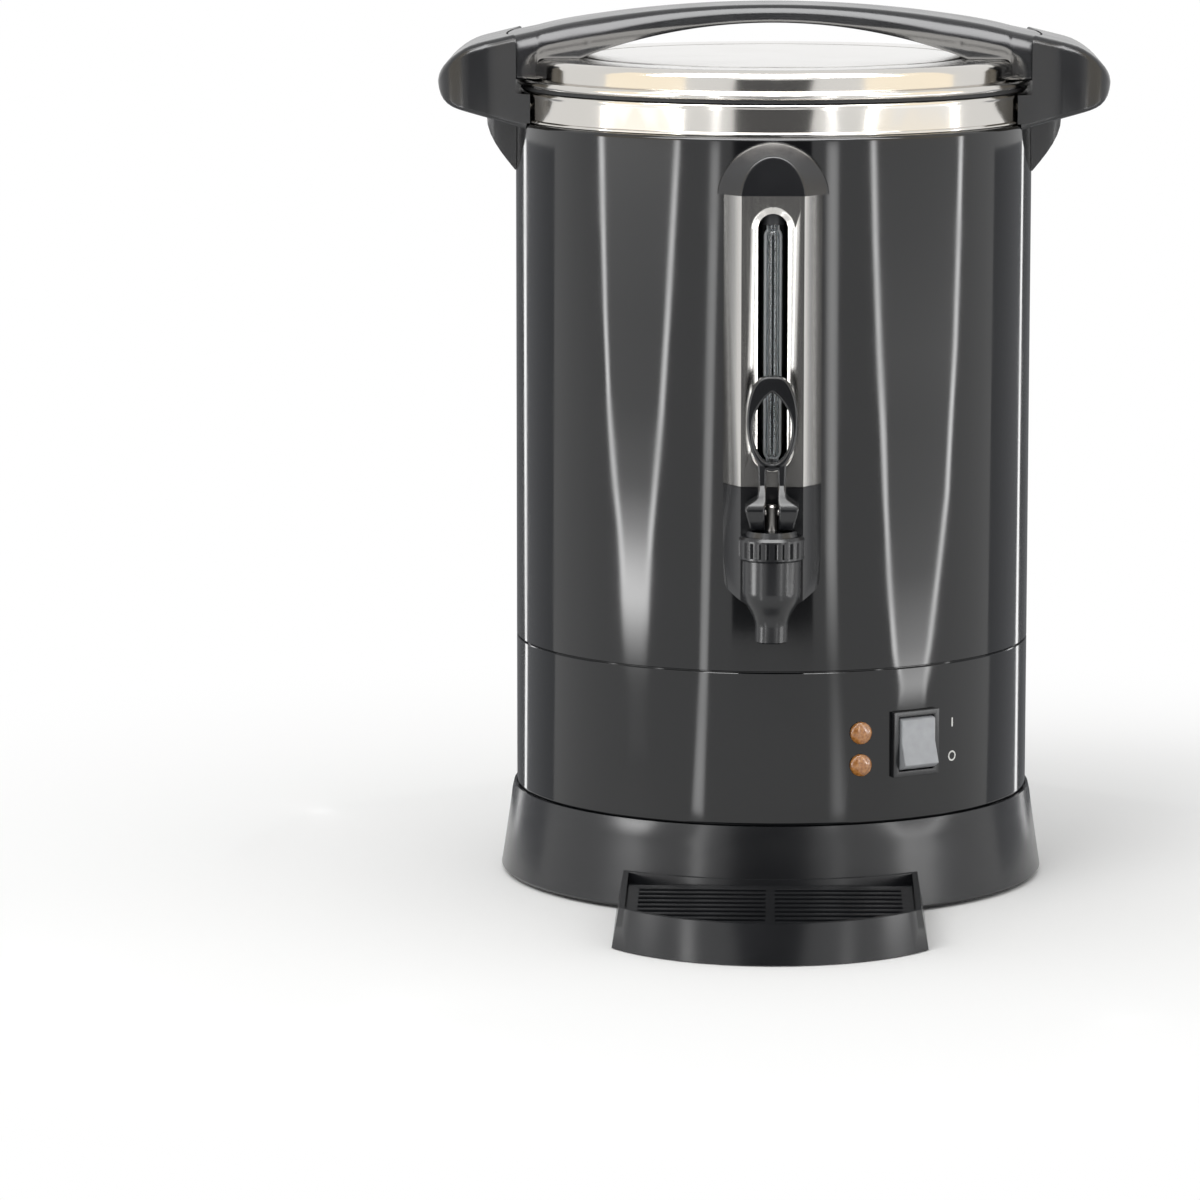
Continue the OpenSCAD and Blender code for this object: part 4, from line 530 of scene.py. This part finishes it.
# Half of the arch's width, its rise and its distance from the axis
arches = [(24, 24, None), (24, 24, slope - 1.0), (23.95, 23.95, slope - 0.3), (23.6, 23.7, slope + 0.4),
          (23.1, 23.4, slope + 1.1), (14.5, 19.4, cover_front - 0.75), (14.2, 19.2, cover_front - 0.35),
          (13.8, 18.8, cover_front - 0.08), (13.2, 18.3, cover_front)]
cap_rings = [cap_arch(*measures) for measures in arches]
skin("gauge_cap_moulding", [(cap_rings, False)], black_abs, "urn", "gauge_cap", sharp=50)

# %% [markdown]
# ## The tap's lever
#
# The lever is a moulding in two parts that flow together: a forked foot, whose two cheeks roll on the
# bonnet and carry the pin, and an upright ring for a finger. The ring is a rounded section carried round
# an oval with a pointed hole. The cheeks are rounded rectangles stacked up the height. Their front edge
# is the cam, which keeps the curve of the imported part, because that curve decides how far the valve
# lifts.

# %% The lever's ring
heel_height = 7.5
pin_height = 1000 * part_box("tap_lever")[0][2] + heel_height
tap_axis = -150.0
hole_width, hole_height, hole_middle, hole_tip = 16.8, 30.6, 36.6, 0.85
rim_width, rim_height, rim_middle, rim_tip = 21.5, 40.5, 38.3, 0.33
ring_depth, ring_round = 7.0, 1.05


def soft_rectangle(width, depth, radius, steps=4):
    """A rectangle with round corners, from 0 to `width` and half of `depth` to either side."""
    far, wide = width - radius, depth / 2 - radius
    return (arc(far, wide, radius, 0, 90, steps) + arc(radius, wide, radius, 90, 180, steps)
            + arc(radius, -wide, radius, 180, 270, steps) + arc(far, -wide, radius, 270, 360, steps))


def oval(angle, width, height, middle, tip):
    """A point of an oval. `tip` is 0.5 for a round top, less for a blunt one and more for a pointed one."""
    z = -math.cos(angle)
    x = width / 2 * max(0.0, 1 - z * z) ** (tip if z > 0 else 0.5)
    return math.copysign(x, math.sin(angle)), middle + height / 2 * z


ring_sections = []
for i in range(72):
    angle = 2 * math.pi * (i + 0.5) / 72
    hole_x, hole_z = oval(angle, hole_width, hole_height, hole_middle, hole_tip)
    rim_x, rim_z = oval(angle, rim_width, rim_height, rim_middle, rim_tip)
    reach = math.hypot(rim_x - hole_x, rim_z - hole_z)
    out_x, out_z = (rim_x - hole_x) / reach, (rim_z - hole_z) / reach
    ring_sections.append([(hole_x + out_x * a, tap_axis + b, pin_height + hole_z + out_z * a)
                          for a, b in soft_rectangle(reach, ring_depth, ring_round)])
print("ring sections:", len(ring_sections))

# %% The lever's cheeks
# Height above the pin, outer face, inner face, front and back
cheek = [(-7.5, 8.4, 3.4, -3.0, 3.4), (-7.35, 8.8, 3.0, -4.2, 4.0), (-6.4, 9.2, 3.0, -7.1, 4.9),
         (-5.5, 9.4, 3.0, -8.3, 5.6), (-2.7, 10.0, 3.0, -10.7, 5.6), (0.0, 10.8, 3.0, -11.8, 5.6),
         (1.8, 11.2, 3.0, -12.1, 5.6), (3.0, 11.4, 2.9, -12.1, 5.6), (3.9, 11.2, 2.7, -11.6, 5.4),
         (4.8, 10.2, 2.6, -10.8, 5.2), (5.7, 8.6, 2.5, -9.9, 5.0), (6.6, 7.2, 2.4, -9.0, 4.8),
         (7.6, 6.3, 2.4, -8.0, 4.5), (9.0, 6.0, 2.4, -6.5, 4.2), (12.0, 5.9, 2.4, -3.6, 3.5),
         (15.0, 5.9, 2.4, -3.5, 3.5), (18.0, 6.0, 2.4, -3.5, 3.5), (18.9, 6.0, 2.2, -3.5, 3.5),
         (19.7, 6.1, 1.5, -3.5, 3.5), (20.2, 6.1, 0.6, -3.5, 3.5), (20.4, 6.1, 0.02, -3.5, 3.5),
         (22.0, 6.1, 0.02, -3.0, 3.0)]


def cheek_rings(side):
    """Sections of one cheek, from the heel up to where it runs into the ring."""
    return [[(side * (inner + a), tap_axis + (front + back) / 2 + b, pin_height + z)
             for a, b in soft_rectangle(outer - inner, back - front, 1.0)]
            for z, outer, inner, front, back in cheek]


skin("lever_moulding", [(ring_sections, True), (cheek_rings(-1), False), (cheek_rings(1), False)], black_abs,
     "lever", "tap_lever")

# %% [markdown]
# ## Marks beside the switch
#
# A bar for on and a ring for off are printed on the enamel. Ink lies a few hundredths of a millimetre on
# top, so each mark is a very thin plate that follows the shell's curve.

# %% On and off marks
lower_radius = 115.0
mark_angle, on_height, off_height = 43.7, 81.0, 66.0
bar_half, bar_rise = 0.4, 2.0
hoop_inside, hoop_outside = 1.6, 2.3
ink = 0.06


def on_shell(across, height, proud):
    """A point on the lower shell, from its place on a flat sheet that is wrapped round the shell."""
    turn = math.radians(mark_angle) + across / lower_radius
    radius = lower_radius + proud
    return radius * math.sin(turn), -radius * math.cos(turn), height


def printed(near, far):
    """The four corners of a printed line's section, from one side of the line to the other."""
    return (near, 0.0), (far, 0.0), (far, ink), (near, ink)


bar = [[on_shell(across, on_height + up, proud) for across, proud in printed(-bar_half, bar_half)]
       for up in (-bar_rise, bar_rise)]
hoop = []
for i in range(32):
    angle = 2 * math.pi * i / 32
    hoop.append([on_shell(r * math.cos(angle), off_height + r * math.sin(angle), proud)
                 for r, proud in printed(hoop_inside, hoop_outside)])
skin("on_mark", [(bar, False)], white_ink, "urn", None)
skin("off_mark", [(hoop, True)], white_ink, "urn", None)

# %% [markdown]
# ## The camera
#
# The view is nearly level, from 2.7 m away with a long lens, so the urn's sides stay almost parallel.

# %% Camera
# Metres and radians, and the lens as its focal length in pixels of the frame
camera_distance, camera_height = 2.7, 0.536
tilt_down, turn_left = 0.1522, 0.0287
focal_pixels, frame_pixels = 6043.95, 1200
camera_data = bpy.data.cameras.new("camera")
camera_data.sensor_width = 36
camera_data.lens = 36 * focal_pixels / frame_pixels
camera_data.clip_end = 60
camera = bpy.data.objects.new("camera", camera_data)
bpy.context.scene.collection.objects.link(camera)
camera.location = (0, -camera_distance, camera_height)
camera.rotation_euler = (math.pi / 2 - tilt_down, 0, turn_left)
bpy.context.scene.camera = camera
print("lens in mm:", round(camera_data.lens, 1))

# %% [markdown]
# ## Floor and surround
#
# A glossy black urn is drawn almost wholly by what it mirrors, so the studio matters as much as the
# finish. Both floor and surround are white, and stay at a plain level. Near the urn the floor is ordinary
# paint that takes its shadow. Further out, and for the rays that look at it straight or in a mirror, it
# fades into a white of strength 1, which hides the horizon without adding light to the urn.

# %% Floor
# Metres: half of the floor's width, and where its paint starts and ends fading into white
floor_half = 20
fade_start, fade_end = 0.16, 0.60
floor_mesh = bpy.data.meshes.new("floor")
corners = [(floor_half * x, floor_half * y, 0) for x, y in ((-1, -1), (1, -1), (1, 1), (-1, 1))]
floor_mesh.from_pydata(corners, [], [(0, 1, 2, 3)])
floor = bpy.data.objects.new("floor", floor_mesh)
bpy.context.scene.collection.objects.link(floor)


def looked_at(tree):
    """1 for rays from the eye, from a mirror or through glass, and 0 for the rays that carry light."""
    path = add(tree, "ShaderNodeLightPath")
    straight = add(tree, "ShaderNodeMath", {"operation": "MAXIMUM"},
                   {0: path.outputs["Is Camera Ray"], 1: path.outputs["Is Glossy Ray"]})
    seen = add(tree, "ShaderNodeMath", {"operation": "MAXIMUM"},
               {0: straight.outputs["Value"], 1: path.outputs["Is Transmission Ray"]})
    return seen.outputs["Value"]


floor_paint, tree, shader, place = start_material("pale_floor_paint", "#F7F7F6", 0.85)
roller = add(tree, "ShaderNodeTexNoise", {"Scale": per_mm(2), "Detail": 2.0}, {"Vector": place})
stipple = add(tree, "ShaderNodeBump", {"Strength": 0.05, "Distance": mm(0.1)},
              {"Height": roller.outputs["Fac"]})
tree.links.new(stipple.outputs["Normal"], shader.inputs["Normal"])
reach = add(tree, "ShaderNodeVectorMath", {"operation": "LENGTH"}, {0: place})
far = add(tree, "ShaderNodeMapRange",
          {"interpolation_type": "SMOOTHSTEP", "From Min": fade_start, "From Max": fade_end},
          {"Value": reach.outputs["Value"]})
fade = add(tree, "ShaderNodeMath", {"operation": "MULTIPLY"},
           {0: far.outputs["Result"], 1: looked_at(tree)})
white = add(tree, "ShaderNodeEmission", {"Color": linear("#FFFFFF"), "Strength": 1.0})
blend = add(tree, "ShaderNodeMixShader", None,
            {0: fade.outputs["Value"], 1: shader.outputs["BSDF"], 2: white.outputs["Emission"]})
tree.links.new(blend.outputs["Shader"], tree.nodes["Material Output"].inputs["Surface"])
floor_mesh.materials.append(floor_paint)

# %% Surround
world = bpy.data.worlds.new("surround")
bpy.context.scene.world = world
world.use_nodes = True
tree = world.node_tree
level = add(tree, "ShaderNodeMapRange", {"To Min": 0.85, "To Max": 1.0}, {"Value": looked_at(tree)})
tree.nodes["Background"].inputs["Color"].default_value = linear("#FFFFFF")
tree.links.new(level.outputs["Result"], tree.nodes["Background"].inputs["Strength"])
print("floor and surround are white")

# %% [markdown]
# ## What the enamel mirrors
#
# A cylinder squeezes all that stands round it into upright bands. Two tall soft boxes beside the urn draw
# the long bands down its shells: they glow more at their edges than in their middle, and they are wider
# at the top, so the bands narrow on their way down. They stand close, because the camera looks down a
# little, and a distant box would vanish below the floor in the mirror. Dark cards do the opposite: they
# keep the urn's front and flanks quiet, and a narrow bright sheet between two of them leaves a thin line
# along each side. The cards at the flanks stand closest, so that even the foot of the lower shell mirrors
# them and not the floor. Warm windows above the boxes tint the neck and the lid, and a strip high in
# front draws the light line along the strap's round shoulder. None of the sheets lights the urn or shows
# to the camera.

# %% A glowing sheet
# Degrees from a sheet's side to the middle of its line, and to where the line has faded out
line_place, line_end = 1.5, 3.4


def stops(width, middle, line, edges):
    """Where the glow changes along a row, in degrees from one side, and how strong it is there."""
    if edges is None:
        return [(0, middle), (width / 2, middle), (width, middle)]
    near, inner = min(line_place, width * 0.2), min(line_end, width * 0.4)
    return [(0, edges), (near, line), (inner, middle), (width / 2, middle), (width - inner, middle),
            (width - near, line), (width, edges)]


def hang(name, colour, distance, rows, edges=None):
    """A curved sheet that glows and that only reflections see.

    Each row gives its height, the angles of its two sides from the camera's side of the urn, and how strongly
    it glows in its middle and along a line near both sides. `edges` is the glow at its very sides.
    """
    mesh = bpy.data.meshes.new(name)
    points, levels = [], []
    for height, first, last, middle, line in rows:
        turn = 1 if last > first else -1
        for offset, level in stops(abs(last - first), middle, line, edges):
            angle = math.radians(first + turn * offset)
            points.append((distance * math.sin(angle), -distance * math.cos(angle), height))
            levels.append(level)
    wide = len(points) // len(rows)
    starts = [r * wide + c for r in range(len(rows) - 1) for c in range(wide - 1)]
    mesh.from_pydata(points, [], [(i, i + 1, i + wide + 1, i + wide) for i in starts])
    mesh.attributes.new("glow", "FLOAT", "POINT").data.foreach_set("value", levels)
    hung = bpy.data.objects.new(name, mesh)
    bpy.context.scene.collection.objects.link(hung)
    lit = bpy.data.materials.new(name)
    lit.use_nodes = True
    lit.node_tree.nodes.clear()
    level = add(lit.node_tree, "ShaderNodeAttribute", {"attribute_name": "glow"})
    light = add(lit.node_tree, "ShaderNodeEmission", {"Color": linear(colour)},
                {"Strength": level.outputs["Fac"]})
    add(lit.node_tree, "ShaderNodeOutputMaterial", None, {"Surface": light.outputs["Emission"]})
    mesh.materials.append(lit)
    hung.visible_camera = False
    hung.visible_diffuse = False
    hung.visible_shadow = False


def plain(side, first, last, low, high, level):
    """Rows of a sheet with upright sides and one level of light."""
    return [(height, side * first, side * last, level, level) for height in (low, high)]


# %% Soft boxes, slits and cards
box_distance, slit_distance, card_distance, front_distance = 0.45, 0.34, 0.25, 0.9
surround_level = 1.0
box_top, card_top = 0.316, 0.318
# Rows run from the foot up: height in metres, both sides in degrees, light in the middle and in the lines.
left_box = [(0.0, -47, -62, 1.0, 1.0), (0.012, -48, -61, 1.2, 1.0), (0.036, -50, -60, 1.2, 1.1),
            (0.050, -49.5, -61.5, 1.6, 1.4), (0.066, -48.6, -62.4, 6.0, 4.5),
            (0.084, -48.0, -63.0, 13.0, 13.0), (0.098, -47.6, -63.4, 11.0, 15.0),
            (0.118, -46.6, -64.6, 5.0, 15.0), (0.140, -45.0, -66.8, 2.0, 14.0),
            (0.178, -42.3, -69.8, 1.4, 14.0), (0.224, -40.1, -72.3, 1.4, 14.0),
            (0.276, -38.0, -73.9, 1.6, 14.0), (0.315, -36.3, -74.6, 1.9, 14.0)]
right_box = [(0.0, 50, 66, 1.2, 1.0), (0.008, 50, 66, 1.9, 1.2), (0.03, 51, 66, 1.3, 1.1),
             (0.041, 51.7, 65.6, 7.0, 9.0), (0.059, 48.9, 68.4, 4.0, 14.0), (0.096, 45.8, 72.6, 1.8, 14.0),
             (0.133, 43.6, 76.6, 1.5, 14.0), (0.17, 42.2, 78.1, 1.4, 14.0), (0.207, 40.5, 80.0, 1.5, 14.0),
             (0.262, 38.6, 81.1, 1.3, 14.0), (0.315, 37.3, 81.8, 1.2, 14.0)]
left_slit = [(0.0, -24.5, -30.0, 5.0, 4.0), (0.07, -22.9, -27.0, 5.0, 4.0), (0.32, -19.6, -23.6, 5.0, 4.0)]
right_slit = [(0.0, 21.5, 28.3, 3.0, 2.0), (0.07, 20.5, 26.0, 1.6, 1.2), (0.13, 19.5, 24.4, 5.0, 4.0),
              (0.32, 19.0, 24.4, 5.0, 4.0)]
hang("left_box", "#FFFFFF", box_distance, left_box, edges=surround_level)
hang("right_box", "#FFFFFF", box_distance, right_box, edges=surround_level)
hang("left_slit", "#FFFFFF", slit_distance, left_slit, edges=surround_level)
hang("right_slit", "#FFFFFF", slit_distance, right_slit, edges=surround_level)
for word, side, first, last in (("left", -1, 36.5, 76.0), ("right", 1, 37.5, 82.3)):
    hang(f"{word}_window", "#FFF4E0", box_distance, plain(side, first, last, box_top, 0.75, 1.45))
    hang(f"{word}_flank", "#E8EAEE", card_distance, plain(side, 92, 119, 0.0, card_top, 0.5))
    hang(f"{word}_edge", "#FFFFFF", card_distance, plain(side, 119.3, 122.4, 0.0, card_top, 4.0))
    hang(f"{word}_behind", "#E8EAEE", card_distance, plain(side, 122.9, 180, 0.0, card_top, 0.25))
hang("front_card", "#F2F2F4", front_distance, plain(1, -16.5, 16.5, 0.0, 0.42, 0.12))
hang("top_strip", "#FFFFFF", card_distance, plain(1, -50, 50, 0.43, 0.9, 10.0))
print("soft boxes stand", box_distance, "m from the urn's axis, the flanks' cards", card_distance, "m")

# %% [markdown]
# ## The key light
#
# One large lamp, high in front on the left, gives the satin plastic its soft highlights and the urn its
# shadow. The wider a lamp is, the softer the edge of its shadow, and this one is 1.2 m wide. The white
# surround lights the rest, so no second lamp is needed.

# %% Key light
key_data = bpy.data.lights.new("key", "AREA")
key_data.energy = 18
key_data.size = 1.2
key = bpy.data.objects.new("key", key_data)
bpy.context.scene.collection.objects.link(key)
key.location = (-0.9, -1.4, 1.9)
key.rotation_euler = (Vector((0, 0, 0.2)) - key.location).to_track_quat("-Z", "Y").to_euler()
print("lights:", key.name)

# %% [markdown]
# ## The colour view
#
# The Standard view shows each colour about as it is written above.

# %% The colour view
bpy.context.scene.view_settings.view_transform = "Standard"
